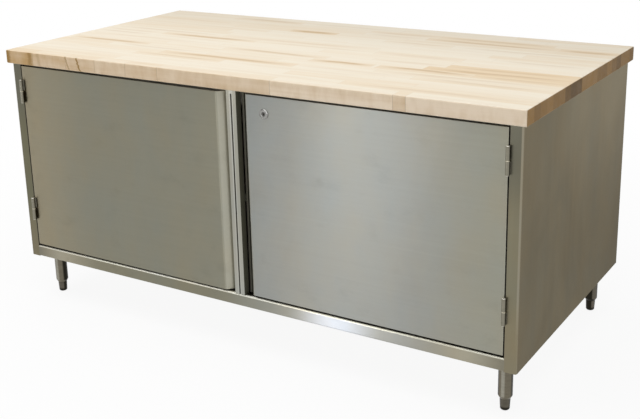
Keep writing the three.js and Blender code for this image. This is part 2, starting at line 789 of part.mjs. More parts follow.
for (const [word, side] of SIDES) {
  const doorway = new THREE.Group();
  const lockedDoor = side > 0;
  const skin = lockedDoor ? cut(doorSkin(side), lockHole()) : sagging(doorSkin(side));
  const liner = lockedDoor ? cut(doorLiner(side), lockHole()) : sagging(doorLiner(side));
  doorway.add(piece(`${word}_door_skin`, skin, STEEL), piece(`${word}_door_liner`, liner, STEEL));
  for (const [level, drop] of [["upper", HINGE_UPPER_DROP], ["lower", HINGE_LOWER_DROP]]) {
    const hinge = new THREE.Group();
    hinge.position.set(side * HINGE_X, HINGE_Y, CABINET_TOP - drop - HINGE_LENGTH / 2);
    hinge.add(
      piece(`${word}_${level}_hinge_frame_knuckle`, frameKnuckle(side), STEEL),
      piece(`${word}_${level}_hinge_washer`, hingeWasher(), BRASS),
      piece(`${word}_${level}_hinge_door_knuckle`, doorKnuckle(side), STEEL),
    );
    doorway.add(hinge);
  }
  const magnet = piece(`${word}_magnet_catch`, magnetCatch(), CATCH_PLASTIC);
  magnet.position.x = side * CATCH_FROM_CENTRE;
  const strike = piece(`${word}_strike_plate`, strikePlate(), BRIGHT_STEEL);
  strike.position.x = side * CATCH_FROM_CENTRE;
  doorway.add(magnet, strike);
  BUMPER_FROM_CENTRE.forEach((distance, index) => {
    const bumper = piece(`${word}_door_bumper_${index + 1}`, doorBumper(), BLACK_RUBBER);
    bumper.position.set(side * distance, 0, FRAME_TOP - BUMPER_DROP);
    doorway.add(bumper);
  });
  bench.add(doorway);
}

const lock = new THREE.Group();
lock.position.set(LOCK_X, FRONT_Y, LOCK_Z);
lock.rotation.x = Math.PI / 2;
lock.add(
  piece("lock_housing", lockHousing(), BRIGHT_STEEL),
  piece("lock_nut", lockNut(), BRIGHT_STEEL),
  piece("lock_plug", lockPlug(), BRIGHT_STEEL),
  piece("lock_cam", lockCam(), BRIGHT_STEEL),
);
bench.add(lock);

export default bench;
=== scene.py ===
"""Cabinet workbench: a maple butcher-block top on a brushed steel cabinet with two hinged doors."""

import json
import math
import random

import bmesh
import bpy
from bpy.props import FloatProperty, FloatVectorProperty, IntProperty, PointerProperty
from mathutils import Matrix, Vector


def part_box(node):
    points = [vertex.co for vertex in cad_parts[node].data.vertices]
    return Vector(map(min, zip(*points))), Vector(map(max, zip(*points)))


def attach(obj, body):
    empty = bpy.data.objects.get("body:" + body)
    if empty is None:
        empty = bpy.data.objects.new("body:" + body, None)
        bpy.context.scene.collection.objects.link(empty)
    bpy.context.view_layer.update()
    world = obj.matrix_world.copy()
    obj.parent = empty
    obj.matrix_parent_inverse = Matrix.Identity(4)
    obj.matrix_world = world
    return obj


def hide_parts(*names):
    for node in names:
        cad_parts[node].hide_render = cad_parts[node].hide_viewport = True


bl_info = {
    "name": "Cabinet Workbench",
    "version": (1, 0, 0),
    "blender": (4, 5, 0),
    "location": "View3D > Sidebar > Workbench",
    "description": "Finishes a cabinet workbench in maple and brushed steel around its packed frame",
    "category": "Object",
}

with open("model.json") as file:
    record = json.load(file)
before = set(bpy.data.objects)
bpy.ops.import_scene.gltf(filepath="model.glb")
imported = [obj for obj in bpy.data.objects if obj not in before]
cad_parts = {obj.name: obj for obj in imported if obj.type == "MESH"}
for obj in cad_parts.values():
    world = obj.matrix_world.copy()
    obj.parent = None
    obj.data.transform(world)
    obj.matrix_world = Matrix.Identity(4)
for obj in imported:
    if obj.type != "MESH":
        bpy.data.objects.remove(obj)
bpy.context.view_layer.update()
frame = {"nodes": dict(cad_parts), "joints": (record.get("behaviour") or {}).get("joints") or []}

# Places taken from the frame, in metres
TOP_LOW, TOP_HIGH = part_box("maple_top")
TOP_MIDDLE = (TOP_LOW + TOP_HIGH) / 2
PANEL_LOW, PANEL_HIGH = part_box("right_end_panel")
RAIL_LOW, RAIL_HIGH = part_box("front_bottom_rail")
POST_LOW, POST_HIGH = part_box("centre_mullion")
DOOR_LOW, DOOR_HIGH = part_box("right_door_skin")
LEFT_DOOR_LOW, LEFT_DOOR_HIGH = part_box("left_door_skin")
FRONT = PANEL_LOW.y
JAMB = PANEL_LOW.x
JOINTS = {joint["name"]: joint for joint in frame["joints"]}
SIDES = (("left", -1), ("right", 1))
CORNERS = [f"{end}_{word}" for end in ("front", "rear") for word, side in SIDES]
LEVELS = ("upper", "lower")

ALONG_X = Vector((1, 0, 0))
ALONG_Y = Vector((0, 1, 0))
ALONG_Z = Vector((0, 0, 1))
FACING_FRONT = Matrix.Rotation(math.pi / 2, 4, "X")

# Small sizes that many pieces share, in metres, and limits of shape
TOUCH = 0.00005
SEAM = 0.0003
EDGE_ROUND = 0.0003
ACROSS_GRAIN = 0.3
SHARP_ANGLE = math.radians(32)
FOLD_ANGLE = math.radians(20)

# Staves given one by one: row from the front, left end, right end, heartwood, warmth
SET_STAVES = (
    (0, -0.9144, -0.79, 0.0, 0.82),
    (0, -0.79, -0.644, 0.0, 0.5),
    (0, -0.644, -0.518, 0.05, 0.55),
    (0, -0.518, -0.392, 0.0, 0.3),
    (0, -0.392, -0.264, 0.1, 0.45),
    (0, 0.54, 0.578, 0.0, 0.4),
    (4, -0.412, 0.103, 0.75, 0.45),
    (6, -0.888, -0.542, 0.7, 0.35),
    (6, 0.101, 0.317, 0.8, 0.5),
    (6, 0.332, 0.64, 0.7, 0.6),
    (6, 0.64, 0.9144, 0.3, 0.75),
    (7, -0.259, 0.133, 0.5, 0.3),
    (7, 0.468, 0.9144, 0.6, 0.95),
    (8, 0.52, 0.9144, 0.4, 0.85),
    (10, -0.629, -0.231, 0.75, 0.45),
    (15, -0.24, -0.052, 0.95, 0.75),
    (16, 0.271, 0.731, 0.65, 0.5),
    (16, 0.731, 0.9144, 0.6, 0.6),
    (17, 0.3, 0.7, 0.45, 0.45),
    (18, -0.58, -0.276, 0.4, 0.35),
)

# Dark checks in the front edge: place along the bench, lean, half width, darkness
CHECKS = (
    (-0.908, 0.1, 0.016, 0.75),
    (-0.804, 0.05, 0.014, 0.6),
    (-0.765, 0.1, 0.01, 0.25),
    (-0.636, 0.35, 0.004, 0.6),
    (-0.588, 0.35, 0.005, 0.9),
)


# Settings

def a_colour(what, default):
    """A colour for the sidebar, named for what it is on."""
    words = {"name": what.capitalize(), "description": f"Colour of the {what}"}
    return FloatVectorProperty(**words, default=default, subtype="COLOR", min=0, max=1)


def a_length(what, default):
    """A length in metres for the sidebar, named for what it measures."""
    words = {"name": what.capitalize(), "description": f"The {what}, in metres"}
    return FloatProperty(**words, default=default, unit="LENGTH", min=0, precision=4)


def an_angle(what, degrees):
    """An angle for the sidebar, named for what it turns."""
    words = {"name": what.capitalize(), "description": f"The {what}"}
    return FloatProperty(**words, default=math.radians(degrees), subtype="ANGLE")


def a_strength(what, default, **limits):
    """A strength or a share for the sidebar, named for what it changes."""
    words = {"name": what.capitalize(), "description": f"The {what}"}
    return FloatProperty(**words, default=default, min=0, **limits)


class WorkbenchBlock(bpy.types.PropertyGroup):
    """Sizes and colours of the butcher block."""

    rows: IntProperty(name="Rows", description="Rows of staves over the depth", default=20, min=4, max=40)
    seed: IntProperty(name="Seed", description="Arrangement of the staves", default=11, min=0)
    shortest: a_length("shortest stave in a row", 0.24)
    longest: a_length("longest stave in a row", 0.62)
    eased_edge: a_length("rounding of the outer edges", 0.004)
    pale: a_colour("palest staves", (0.858, 0.784, 0.65))
    amber: a_colour("warmest staves", (0.78, 0.62, 0.42))
    heart: a_colour("heartwood streaks", (0.56, 0.38, 0.2))
    front: a_colour("front edge at its palest", (0.83, 0.7, 0.545))
    front_warm: a_colour("front edge at its warmest", (0.52, 0.34, 0.155))
    check: a_colour("drying checks in the front edge", (0.27, 0.15, 0.03))
    end_grain: a_colour("end grain", (0.276, 0.16, 0.054))


class WorkbenchSteel(bpy.types.PropertyGroup):
    """Sizes and colours of the sheet steel."""

    sheet: a_length("thickness of the cabinet sheet", 0.0015)
    door_sheet: a_length("thickness of the door sheet", 0.0012)
    bend: a_length("outer radius of the folds", 0.0018)
    corner_bend: a_length("outer radius of the cabinet's front corners", 0.0065)
    pull_bend: a_length("outer radius of the bend beside a door's pull", 0.005)
    rail_bend: a_length("outer radius of the bottom rail's folds", 0.0055)
    rail_return: a_length("depth of the bottom rail's lower lip", 0.02)
    jamb_depth: a_length("depth of the jambs and the centre post", POST_HIGH.y - POST_LOW.y)
    rear_flange: a_length("width of an end panel's rear flange", 0.025)
    pull_depth: a_length("depth of a door's bevelled pull", DOOR_HIGH.y - DOOR_LOW.y)
    groove_width: a_length("width of the centre post's groove", 0.004)
    groove_depth: a_length("depth of the centre post's groove", 0.012)
    cap_height: a_length("height of the plate that closes the groove", 0.0125)
    left_door: a_colour("left door", (0.262, 0.252, 0.197))
    # Painted reflection: the left door lighter and warmer towards its hinges
    left_hinge_reflection: a_colour("left door near its hinges", (0.33, 0.294, 0.21))
    right_door: a_colour("right door", (0.301, 0.303, 0.281))
    # Painted reflection: the right door lighter and warmer towards its hinges
    right_hinge_reflection: a_colour("right door near its hinges", (0.333, 0.323, 0.262))
    # Painted highlight on the doors' upright folds and bevelled pulls
    edge: a_colour("upright folds and pulls of the doors", (0.435, 0.422, 0.347))
    # Painted shade on the doors' top and bottom folds and on the ledge under the doors
    rim: a_colour("door rims and the back of the ledge", (0.1, 0.09, 0.07))
    rail: a_colour("bottom rail", (0.24, 0.228, 0.17))
    # Painted reflection of the front light on the bottom rail
    rail_lit: a_colour("bottom rail below the lock", (0.365, 0.362, 0.335))
    rail_end: a_colour("bottom rail near its ends", (0.4, 0.37, 0.285))
    rail_tip: a_colour("bottom rail beside the stiles", (0.21, 0.195, 0.15))
    # Painted highlight: a bright spot of reflected light on the bottom rail
    glaring: a_colour("bottom rail where it is rubbed bright", (0.6, 0.62, 0.66))
    # Painted highlight along the rounded top of the bottom rail, dimmer below the right door
    ledge: a_colour("ledge on the bottom rail", (0.98, 0.95, 0.83))
    ledge_right_highlight: a_colour("ledge below the right door", (0.7, 0.68, 0.57))
    post: a_colour("post between the doors", (0.33, 0.322, 0.272))
    # Painted highlight beside the groove of the post
    post_lip_highlight: a_colour("post beside its groove", (0.42, 0.415, 0.37))
    post_foot: a_colour("lower part of the post", (0.375, 0.37, 0.325))
    # Painted shade in the recess between the pulls
    post_side_shade: a_colour("sides of the post", (0.12, 0.117, 0.086))
    # Painted shade on the liners and the shelf behind the pulls
    liner_shade: a_colour("liners and shelf behind the pulls", (0.1, 0.096, 0.075))
    left_stile: a_colour("left stile", (0.174, 0.166, 0.111))
    right_stile: a_colour("right stile", (0.215, 0.196, 0.135))
    # Painted shadow of the worktop on the tops of the stiles
    stile_head_shade: a_colour("stiles below the worktop", (0.148, 0.142, 0.108))
    stile_foot: a_colour("stiles beside the rail", (0.225, 0.198, 0.134))
    # Painted highlight on the rounded front corners
    corner: a_colour("rounded front corners", (0.29, 0.263, 0.2))
    # Painted shade on the jambs, in the gap beside the doors
    jamb: a_colour("jambs behind the stiles", (0.1, 0.09, 0.07))
    # Painted shade: the right end panel darker than the left end and the back
    panel: a_colour("right end panel", (0.23, 0.199, 0.141))
    # Painted sheen on the upper, rear part of the right end panel
    panel_upper_sheen: a_colour("right end panel near the worktop", (0.335, 0.291, 0.21))
    far_panel: a_colour("back panel, left end panel and liners", (0.36, 0.345, 0.29))
    inside: a_colour("sheet inside the cabinet", (0.55, 0.54, 0.5))
    grazing: a_strength("brightness of the end panels at a low angle", 0.4, max=1)


class WorkbenchHardware(bpy.types.PropertyGroup):
    """Sizes and colours of the hinges, the lock, the legs and the small fittings."""

    barrel: a_length("radius of a hinge barrel", 0.006)
    pin: a_length("radius of a hinge pin", 0.0035)
    bead: a_length("radius of a weld ripple", 0.0012)
    bead_pitch: a_length("distance between weld ripples", 0.0014)
    spot: a_length("radius of a spot weld", 0.0034)
    spot_depth: a_length("depth of a spot weld", 0.0008)
    leg_wall: a_length("wall of a leg tube", 0.0015)
    stem: a_length("radius of a foot's stem", 0.0072)
    ridge: a_length("height of a foot's thread", 0.0007)
    thread_pitch: a_length("pitch of a foot's thread", 0.002)
    hinge: a_colour("hinges", (0.24, 0.225, 0.175))
    # Painted shade on one side of the hinges; also the colour of the welds
    hinge_shade_and_weld: a_colour("dark side and welds of the hinges", (0.06, 0.055, 0.04))
    # Painted highlight on the ends of the hinge barrels
    hinge_cap_highlight: a_colour("ends of the hinges", (0.95, 0.92, 0.84))
    brass: a_colour("hinge washers", (0.72, 0.66, 0.5))
    chrome: a_colour("rim of the lock", (0.3, 0.295, 0.28))
    glint: a_colour("glint on the rim of the lock", (0.95, 0.95, 0.93))
    plug: a_colour("plug of the lock", (0.1, 0.098, 0.09))
    leg: a_colour("legs", (0.16, 0.142, 0.105))
    leg_lit: a_colour("bright strip on the legs", (0.3, 0.285, 0.235))
    foot: a_colour("feet", (0.12, 0.108, 0.085))
    shade: a_colour("dark side of the legs and feet", (0.02, 0.018, 0.013))
    zinc: a_colour("plated fittings", (0.55, 0.55, 0.53))
    rubber: a_colour("rubber bumpers", (0.02, 0.02, 0.02))
    plastic: a_colour("cases of the magnet catches", (0.035, 0.035, 0.036))


class WorkbenchStage(bpy.types.PropertyGroup):
    """Floor, light and camera."""

    floor_reach: a_length("reach of the floor from its middle", 60.0)
    floor: a_colour("floor", (0.9, 0.9, 0.9))
    sky: a_strength("strength of the even light from all round", 0.5)
    overhead: a_strength("power of the overhead panel", 140, unit="POWER")
    front_box: a_strength("power of the tall front panel", 13.5, unit="POWER")
    lens: FloatProperty(name="Lens", description="Focal length", default=59.711, min=1, unit="CAMERA")
    shift: FloatProperty(name="Shift", description="Upward shift of the lens", default=-0.09297)
    azimuth: an_angle("turn of the camera round the bench", 32.105)
    elevation: an_angle("angle at which the camera looks down", 16.334)
    roll: an_angle("tilt of the picture", -1.374)
    place: FloatVectorProperty(
        name="Camera",
        description="Place of the camera",
        default=(1.819599, -2.861215, 1.531725),
        subtype="TRANSLATION",
    )


# Node trees

def node(tree, kind, inputs=None, **settings):
    """A new node with its settings, and with its inputs set or linked."""
    made = tree.nodes.new(kind)
    for name, value in settings.items():
        setattr(made, name, value)
    for key, value in (inputs or {}).items():
        if isinstance(value, bpy.types.NodeSocket):
            tree.links.new(value, made.inputs[key])
        else:
            made.inputs[key].default_value = value
    return made


def maths(tree, operation, first, second=0.0, clamp=False):
    """The result of a Math node."""
    inputs = {0: first, 1: second}
    return node(tree, "ShaderNodeMath", inputs, operation=operation, use_clamp=clamp).outputs[0]


def product(tree, first, *others):
    """Values multiplied together."""
    for other in others:
        first = maths(tree, "MULTIPLY", first, other)
    return first


def weighted(tree, *pairs, clamp=False):
    """The sum of values, each times its weight."""
    total, *others = [product(tree, value, weight) for value, weight in pairs]
    for other in others:
        total = maths(tree, "ADD", total, other, clamp)
    return total


def swing(tree, value):
    """A value from 0 to 1, moved to swing about 0."""
    return maths(tree, "SUBTRACT", value, 0.5)


def ranged(tree, value, low, high, to_low=0.0, to_high=1.0, smooth=False):
    """A value moved from one range to another, and kept inside it."""
    kind = "SMOOTHSTEP" if smooth else "LINEAR"
    inputs = {"Value": value, "From Min": low, "From Max": high, "To Min": to_low, "To Max": to_high}
    return node(tree, "ShaderNodeMapRange", inputs, interpolation_type=kind).outputs["Result"]


def vector_maths(tree, operation, inputs, output=0):
    """The result of a Vector Math node."""
    return node(tree, "ShaderNodeVectorMath", inputs, operation=operation).outputs[output]


def parts_of(tree, vector):
    """The X, Y and Z of a vector."""
    return node(tree, "ShaderNodeSeparateXYZ", {0: vector}).outputs


def coordinate(tree, output="Object"):
    """An output of Texture Coordinate."""
    return node(tree, "ShaderNodeTexCoord").outputs[output]


def stretched(tree, scale, shift=None):
    """Object coordinates stretched along the axes, and shifted for a stave of its own."""
    place = coordinate(tree)
    if shift is not None:
        place = vector_maths(tree, "ADD", {0: place, 1: shift})
    return vector_maths(tree, "MULTIPLY", {0: place, 1: scale})


def cloud(tree, scale, detail=2.0, roughness=0.5, distortion=0.0, shift=None):
    """Noise from 0 to 1 on stretched Object coordinates."""
    inputs = {"Vector": stretched(tree, scale, shift), "Scale": 1.0}
    inputs |= {"Detail": detail, "Roughness": roughness, "Distortion": distortion}
    return node(tree, "ShaderNodeTexNoise", inputs).outputs["Fac"]


# Colours over a surface

def opaque(colour, share=1.0):
    """A colour setting as four numbers, made lighter or darker by a share."""
    return (*[min(1.0, part * share) for part in colour], 1.0)


def blended(tree, factor, first, second, kind="MIX"):
    """Two colours mixed by a factor."""
    inputs = {0: factor, 6: first, 7: second}
    return node(tree, "ShaderNodeMix", inputs, data_type="RGBA", blend_type=kind).outputs[2]


def layered(tree, base, *layers):
    """A colour under layers; each layer is a share and the colour that it brings."""
    for share, there in layers:
        base = blended(tree, share, base, there)
    return base


def scaled(tree, colour, factor):
    """A colour made lighter or darker by a factor."""
    return vector_maths(tree, "SCALE", {0: colour, "Scale": factor})


def object_axis(tree, axis, signed=False, output="Object"):
    """One axis of an object coordinate or normal, without its sign unless that is asked for."""
    value = parts_of(tree, coordinate(tree, output))[axis]
    return value if signed else maths(tree, "ABSOLUTE", value)


def axis_share(axis, start, end, signed=False, output="Object"):
    """A share from 0 to 1 between two values of one axis of an object coordinate or normal."""
    return lambda tree: ranged(tree, object_axis(tree, axis, signed, output), start, end, smooth=True)


def depth_share(start, end):
    """A share from 0 to 1 between two depths behind the front of the cabinet."""
    return axis_share("Y", -FRONT - start, -FRONT - end)


def spot_share(middle, reach):
    """A share that is 1 at a place along the length of the bench and falls to 0 within a reach."""
    def share(tree):
        off = maths(tree, "SUBTRACT", object_axis(tree, "X", True), middle)
        return ranged(tree, maths(tree, "ABSOLUTE", off), reach, 0.0, smooth=True)
    return share


def turned_share(direction, start, end):
    """A share from 0 to 1 as a surface turns towards a direction of its own object."""
    def share(tree):
        turn = vector_maths(tree, "DOT_PRODUCT", {0: coordinate(tree, "Normal"), 1: direction}, "Value")
        return ranged(tree, turn, start, end, smooth=True)
    return share


def both(first, second):
    """Where two shares overlap."""
    return lambda tree: product(tree, first(tree), second(tree))


def region_tint(tree, colour, regions):
    """A colour that changes over parts of a piece; each region is a share and the colour that it brings."""
    tint = node(tree, "ShaderNodeRGB").outputs[0]
    tint.default_value = opaque(colour)
    return layered(tree, tint, *((share(tree), opaque(there)) for share, there in regions))


# Materials

def started_material(name):
    """A new material, its tree and its shader."""
    material = bpy.data.materials.new(name)
    material.use_nodes = True
    return material, material.node_tree, material.node_tree.nodes["Principled BSDF"]


def surfaced(tree, shader, colour, rough, relief, strength, distance):
    """Links a colour and a roughness to a shader, with a height as fine relief."""
    bump = node(tree, "ShaderNodeBump", {"Strength": strength, "Distance": distance, "Height": relief})
    links = {"Base Color": colour, "Roughness": rough, "Normal": bump.outputs["Normal"]}
    for name, value in links.items():
        tree.links.new(value, shader.inputs[name])


def brushed_steel(name, colour, grain, roughness, brush=0.0, regions=(), dull=None, grazing=1.0):
    """Brushed stainless steel with hairlines along the grain, soft clouding and handling marks."""
    material, tree, shader = started_material(name)
    axes = (ALONG_X, ALONG_Y, ALONG_Z)
    hairline = cloud(tree, [70 if axis == grain else 1400 for axis in axes], 3)
    streak = cloud(tree, [1.3 if axis == grain else 95 for axis in axes], 4, 0.6)
    clouding = cloud(tree, (3.2, 3.2, 2.4), 4, 0.55, 0.6)
    marks = ranged(tree, cloud(tree, (9, 9, 14), 5, 0.7), 0.56, 0.8)
    mixed = weighted(tree, (streak, 0.2125), (clouding, 0.6375), (hairline, 0.15))
    hue = ranged(tree, cloud(tree, (7, 7, 4), 3, 0.6), 0.3, 0.7)
    hue = blended(tree, hue, (1.03, 1.0, 0.95, 1), (0.97, 1.0, 1.03, 1))
    tint = blended(tree, 1.0, region_tint(tree, colour, regions), hue, "MULTIPLY")
    shade = weighted(tree, (ranged(tree, mixed, 0.32, 0.68, 0.9, 1.1), 1), (marks, -0.05))
    roughening = [(ranged(tree, mixed, 0.3, 0.7, roughness * 0.86, roughness * 1.16), 1), (marks, 0.08)]
    if dull is not None:
        roughening.append((dull(tree), 0.6))
    rough = weighted(tree, *roughening, clamp=True)
    relief = weighted(tree, (hairline, 1), (streak, 0.3))
    surfaced(tree, shader, scaled(tree, tint, shade), rough, relief, 0.08, 0.0002)
    shader.inputs["Metallic"].default_value = 1.0
    shader.inputs["Specular Tint"].default_value = opaque([grazing] * 3)
    if brush > 0:
        shader.inputs["Anisotropic"].default_value = brush
        across = node(tree, "ShaderNodeTangent", direction_type="UV_MAP", uv_map="grain")
        tree.links.new(across.outputs["Tangent"], shader.inputs["Tangent"])
    return material


def turned_metal(name, colour, roughness, rings=900.0, contrast=0.18, grime=0.3, regions=()):
    """Metal turned on a lathe: fine rings along Z, with dirt in soft patches."""
    material, tree, shader = started_material(name)
    ring = cloud(tree, (25, 25, rings), 3, 0.6)
    patch = cloud(tree, (38, 38, 30), 5, 0.65)
    tone = ranged(tree, weighted(tree, (ring, 0.5), (patch, 0.5)), 0.3, 0.7)
    shade = ranged(tree, tone, 0, 1, 1 - contrast, 1 + contrast)
    dirt = ranged(tree, patch, 0.5, 0.72, 1.0, 1 - 0.6 * grime)
    tint = scaled(tree, region_tint(tree, colour, regions), product(tree, shade, dirt))
    rough = ranged(tree, tone, 0, 1, roughness * 0.8, roughness * 1.25)
    surfaced(tree, shader, tint, rough, ring, 0.1, 0.0002)
    shader.inputs["Metallic"].default_value = 1.0
    return material


def moulded(name, colour, roughness, pebble=2600.0):
    """Rubber or plastic with a fine moulded pebble."""
    material, tree, shader = started_material(name)
    grit = cloud(tree, [pebble] * 3)
    dust = cloud(tree, [180] * 3, 4, 0.7)
    tint = blended(tree, ranged(tree, dust, 0.35, 0.75), opaque(colour, 0.8), opaque(colour, 2.2))
    rough = ranged(tree, dust, 0.3, 0.7, roughness * 0.9, roughness * 1.1)
    surfaced(tree, shader, tint, rough, grit, 0.2, 0.0003)
    return material


def stave_value(tree, name, output="Fac"):
    """A value that each stave keeps on the mesh."""
    return node(tree, "ShaderNodeAttribute", attribute_name=f"stave_{name}").outputs[output]


def checks(tree):
    """The darkness of the drying checks of the front edge, which lean and wander."""
    place = parts_of(tree, coordinate(tree))
    height = maths(tree, "SUBTRACT", place["Z"], TOP_MIDDLE.z)
    wander = swing(tree, cloud(tree, (4, 4, 70), 4, 0.7))
    found = 0.0
    for middle, lean, width, darkness in CHECKS:
        off = maths(tree, "SUBTRACT", place["X"], middle)
        off = weighted(tree, (off, 1), (height, lean), (wander, 0.02))
        line = ranged(tree, maths(tree, "ABSOLUTE", off), width, width * 0.3, 0.0, darkness)
        found = maths(tree, "MAXIMUM", found, line)
    return found


def maple(block):
    """Oiled maple: staves of differing warmth, long grain, heartwood streaks and darker end grain."""
    material, tree, shader = started_material("Oiled maple")
    shift = stave_value(tree, "shift", "Vector")
    warmth = stave_value(tree, "warmth")
    local = parts_of(tree, stave_value(tree, "local", "Vector"))
    from_middle = maths(tree, "ABSOLUTE", local["X"])
    fibre = cloud(tree, (9, 420, 420), 4, 0.6, shift=shift)
    figure = cloud(tree, (1.6, 34, 34), 4, 0.6, 0.4, shift)
    pores = ranged(tree, cloud(tree, (26, 900, 900), shift=shift), 0.66, 0.8, 0, 0.22)

    # Heartwood: soft on one side, sharp on the other, and tapered to the ends of its stave
    wander = swing(tree, cloud(tree, (2.6, 0.01, 0.01), 3, shift=shift))
    across = weighted(tree, (local["Y"], 1), (wander, 0.9), (swing(tree, figure), 0.35))
    soft_side = ranged(tree, across, -0.5, 0.12, smooth=True)
    sharp_side = ranged(tree, across, 0.14, 0.22, 1.0, 0.0)
    taper = ranged(tree, from_middle, 0.5, 0.2)
    streak = product(tree, soft_side, sharp_side, taper, stave_value(tree, "heart"))

    # Long grain of the top
    tone = weighted(tree, (warmth, 1), (swing(tree, figure), 0.9), clamp=True)
    top = layered(
        tree,
        blended(tree, tone, opaque(block.pale), opaque(block.amber)),
        (streak, opaque(block.heart)),
        (ranged(tree, fibre, 0.45, 0.8, 0, 0.16), opaque(block.heart, 1.1)),
        (pores, opaque(block.heart, 0.8)),
    )

    # End grain and front edge
    rings = {"Vector": stretched(tree, (0.01, 60, 100), shift), "Scale": 1.4}
    rings |= {"Distortion": 7, "Detail": 3, "Detail Scale": 0.8}
    ring = node(tree, "ShaderNodeTexWave", rings, wave_type="RINGS", rings_direction="X").outputs["Fac"]
    end_tone = weighted(tree, (ring, 0.25), (cloud(tree, [700] * 3, 3), 0.25), (warmth, 0.7), clamp=True)
    ends = blended(tree, end_tone, opaque(block.end_grain, 1.45), opaque(block.end_grain, 0.4))
    mottle = swing(tree, cloud(tree, (34, 1, 12), 3, 0.6, shift=shift))
    front_tone = weighted(tree, (tone, 1), (mottle, 0.8), clamp=True)
    front = blended(tree, front_tone, opaque(block.front), opaque(block.front_warm))
    front = blended(tree, product(tree, fibre, 0.12), front, opaque(block.heart))

    # Butt joints, checks and the faces together
    gap = product(tree, maths(tree, "SUBTRACT", 0.5, from_middle), stave_value(tree, "length"))
    butt = ranged(tree, gap, 0.0014, 0.0004, 0.0, 0.32)
    is_front = ranged(tree, object_axis(tree, "Y", output="Normal"), 0.5, 0.9)
    is_end = ranged(tree, object_axis(tree, "X", output="Normal"), 0.5, 0.85)
    base = layered(
        tree,
        top,
        (is_front, front),
        (product(tree, butt, ranged(tree, is_front, 0, 1, 0.35, 1.0)), opaque(block.heart, 0.4)),
        (product(tree, checks(tree), turned_share(-ALONG_Y, 0.5, 0.9)(tree)), opaque(block.check)),
        (is_end, ends),
    )
    # The top is darker towards the back
    back_darkening = ranged(tree, object_axis(tree, "Y", True), 0.0, 0.4, 1.0, 0.89)
    rough = ranged(tree, figure, 0.3, 0.7, 0.46, 0.6)
    surfaced(tree, shader, scaled(tree, base, back_darkening), rough, fibre, 0.12, 0.0004)
    shader.inputs["Specular IOR Level"].default_value = 0.12
    return material


# Geometry Nodes trees

def started_tree(name, sizes):
    """A Geometry Nodes tree with named size inputs, and those inputs."""
    tree = bpy.data.node_groups.new(name, "GeometryNodeTree")
    tree.interface.new_socket("Geometry", in_out="INPUT", socket_type="NodeSocketGeometry")
    for size in sizes:
        tree.interface.new_socket(size, in_out="INPUT", socket_type="NodeSocketFloat")
    tree.interface.new_socket("Geometry", in_out="OUTPUT", socket_type="NodeSocketGeometry")
    return tree, tree.nodes.new("NodeGroupInput").outputs


def ended_tree(tree, geometry, material):
    """Closes a tree with real geometry in one material."""
    real = node(tree, "GeometryNodeRealizeInstances", {"Geometry": geometry})
    dressed = node(tree, "GeometryNodeSetMaterial", {"Geometry": real.outputs[0], "Material": material})
    node(tree, "NodeGroupOutput", {"Geometry": dressed.outputs[0]})
    return tree


def set_on_points(tree, points, instance, material, **placing):
    """Closes a tree with an instance on each point."""
    inputs = {"Points": points, "Instance": instance, **placing}
    laid = node(tree, "GeometryNodeInstanceOnPoints", inputs)
    return ended_tree(tree, laid.outputs[0], material)


# Shapes

def placed(name, data):
    """An object in the scene."""
    obj = bpy.data.objects.new(name, data)
    bpy.context.scene.collection.objects.link(obj)
    return obj


def plain_mesh(obj):
    """The evaluated mesh of an object, as a mesh of its own."""
    bpy.context.view_layer.update()
    depsgraph = bpy.context.evaluated_depsgraph_get()
    return bpy.data.meshes.new_from_object(
        obj.evaluated_get(depsgraph), preserve_all_data_layers=True, depsgraph=depsgraph
    )


def mesh_of(shape, name="shape"):
    """A shape as a mesh."""
    mesh = bpy.data.meshes.new(name)
    shape.to_mesh(mesh)
    shape.free()
    return mesh


def points_mesh(points):
    """A mesh of loose points."""
    mesh = bpy.data.meshes.new("points")
    mesh.from_pydata([tuple(point) for point in points], [], [])
    return mesh


def reshaped(mesh, kind, sizes=None, **settings):
    """The shape that a modifier makes of a mesh; sizes are the inputs of a Geometry Nodes tree."""
    holder = placed("holder", mesh)
    modifier = holder.modifiers.new("Reshape", kind)
    for name, value in settings.items():
        setattr(modifier, name, value)
    if sizes:
        for item in modifier.node_group.interface.items_tree:
            if item.in_out == "INPUT" and item.name in sizes:
                modifier[item.identifier] = sizes[item.name]
    result = plain_mesh(holder)
    bpy.data.objects.remove(holder)
    bpy.data.meshes.remove(mesh)
    shape = bmesh.new()
    shape.from_mesh(result)
    bpy.data.meshes.remove(result)
    return shape


def grown(mesh, tree, sizes):
    """The shape that a Geometry Nodes tree grows from a mesh, with its sizes set."""
    return reshaped(mesh, "NODES", sizes, node_group=tree)


def cut_from(shape, tool):
    """A shape with a tool cut out of it."""
    cutter = placed("cutter", mesh_of(tool))
    result = reshaped(mesh_of(shape), "BOOLEAN", operation="DIFFERENCE", solver="EXACT", object=cutter)
    bpy.data.objects.remove(cutter)
    return result


def joined(*shapes):
    """Several shapes as one."""
    whole = bmesh.new()
    for shape in shapes:
        mesh = mesh_of(shape)
        whole.from_mesh(mesh)
        bpy.data.meshes.remove(mesh)
    return whole


def moved(shape, matrix):
    """A shape put through a matrix."""
    bmesh.ops.transform(shape, matrix=matrix, verts=shape.verts)
    return shape


def eased(shape, edges, offset, segments):
    """A shape with some of its edges rounded."""
    bmesh.ops.bevel(shape, geom=edges, offset=offset, segments=segments, profile=0.5, affect="EDGES")
    return shape


def round_size(low, high):
    """The radius of a round piece in its box."""
    return (high.x - low.x) / 2


def mirrored(outline, side):
    """An outline drawn for the right-hand side, put on either side."""
    return [(side * point[0], point[1]) for point in outline]


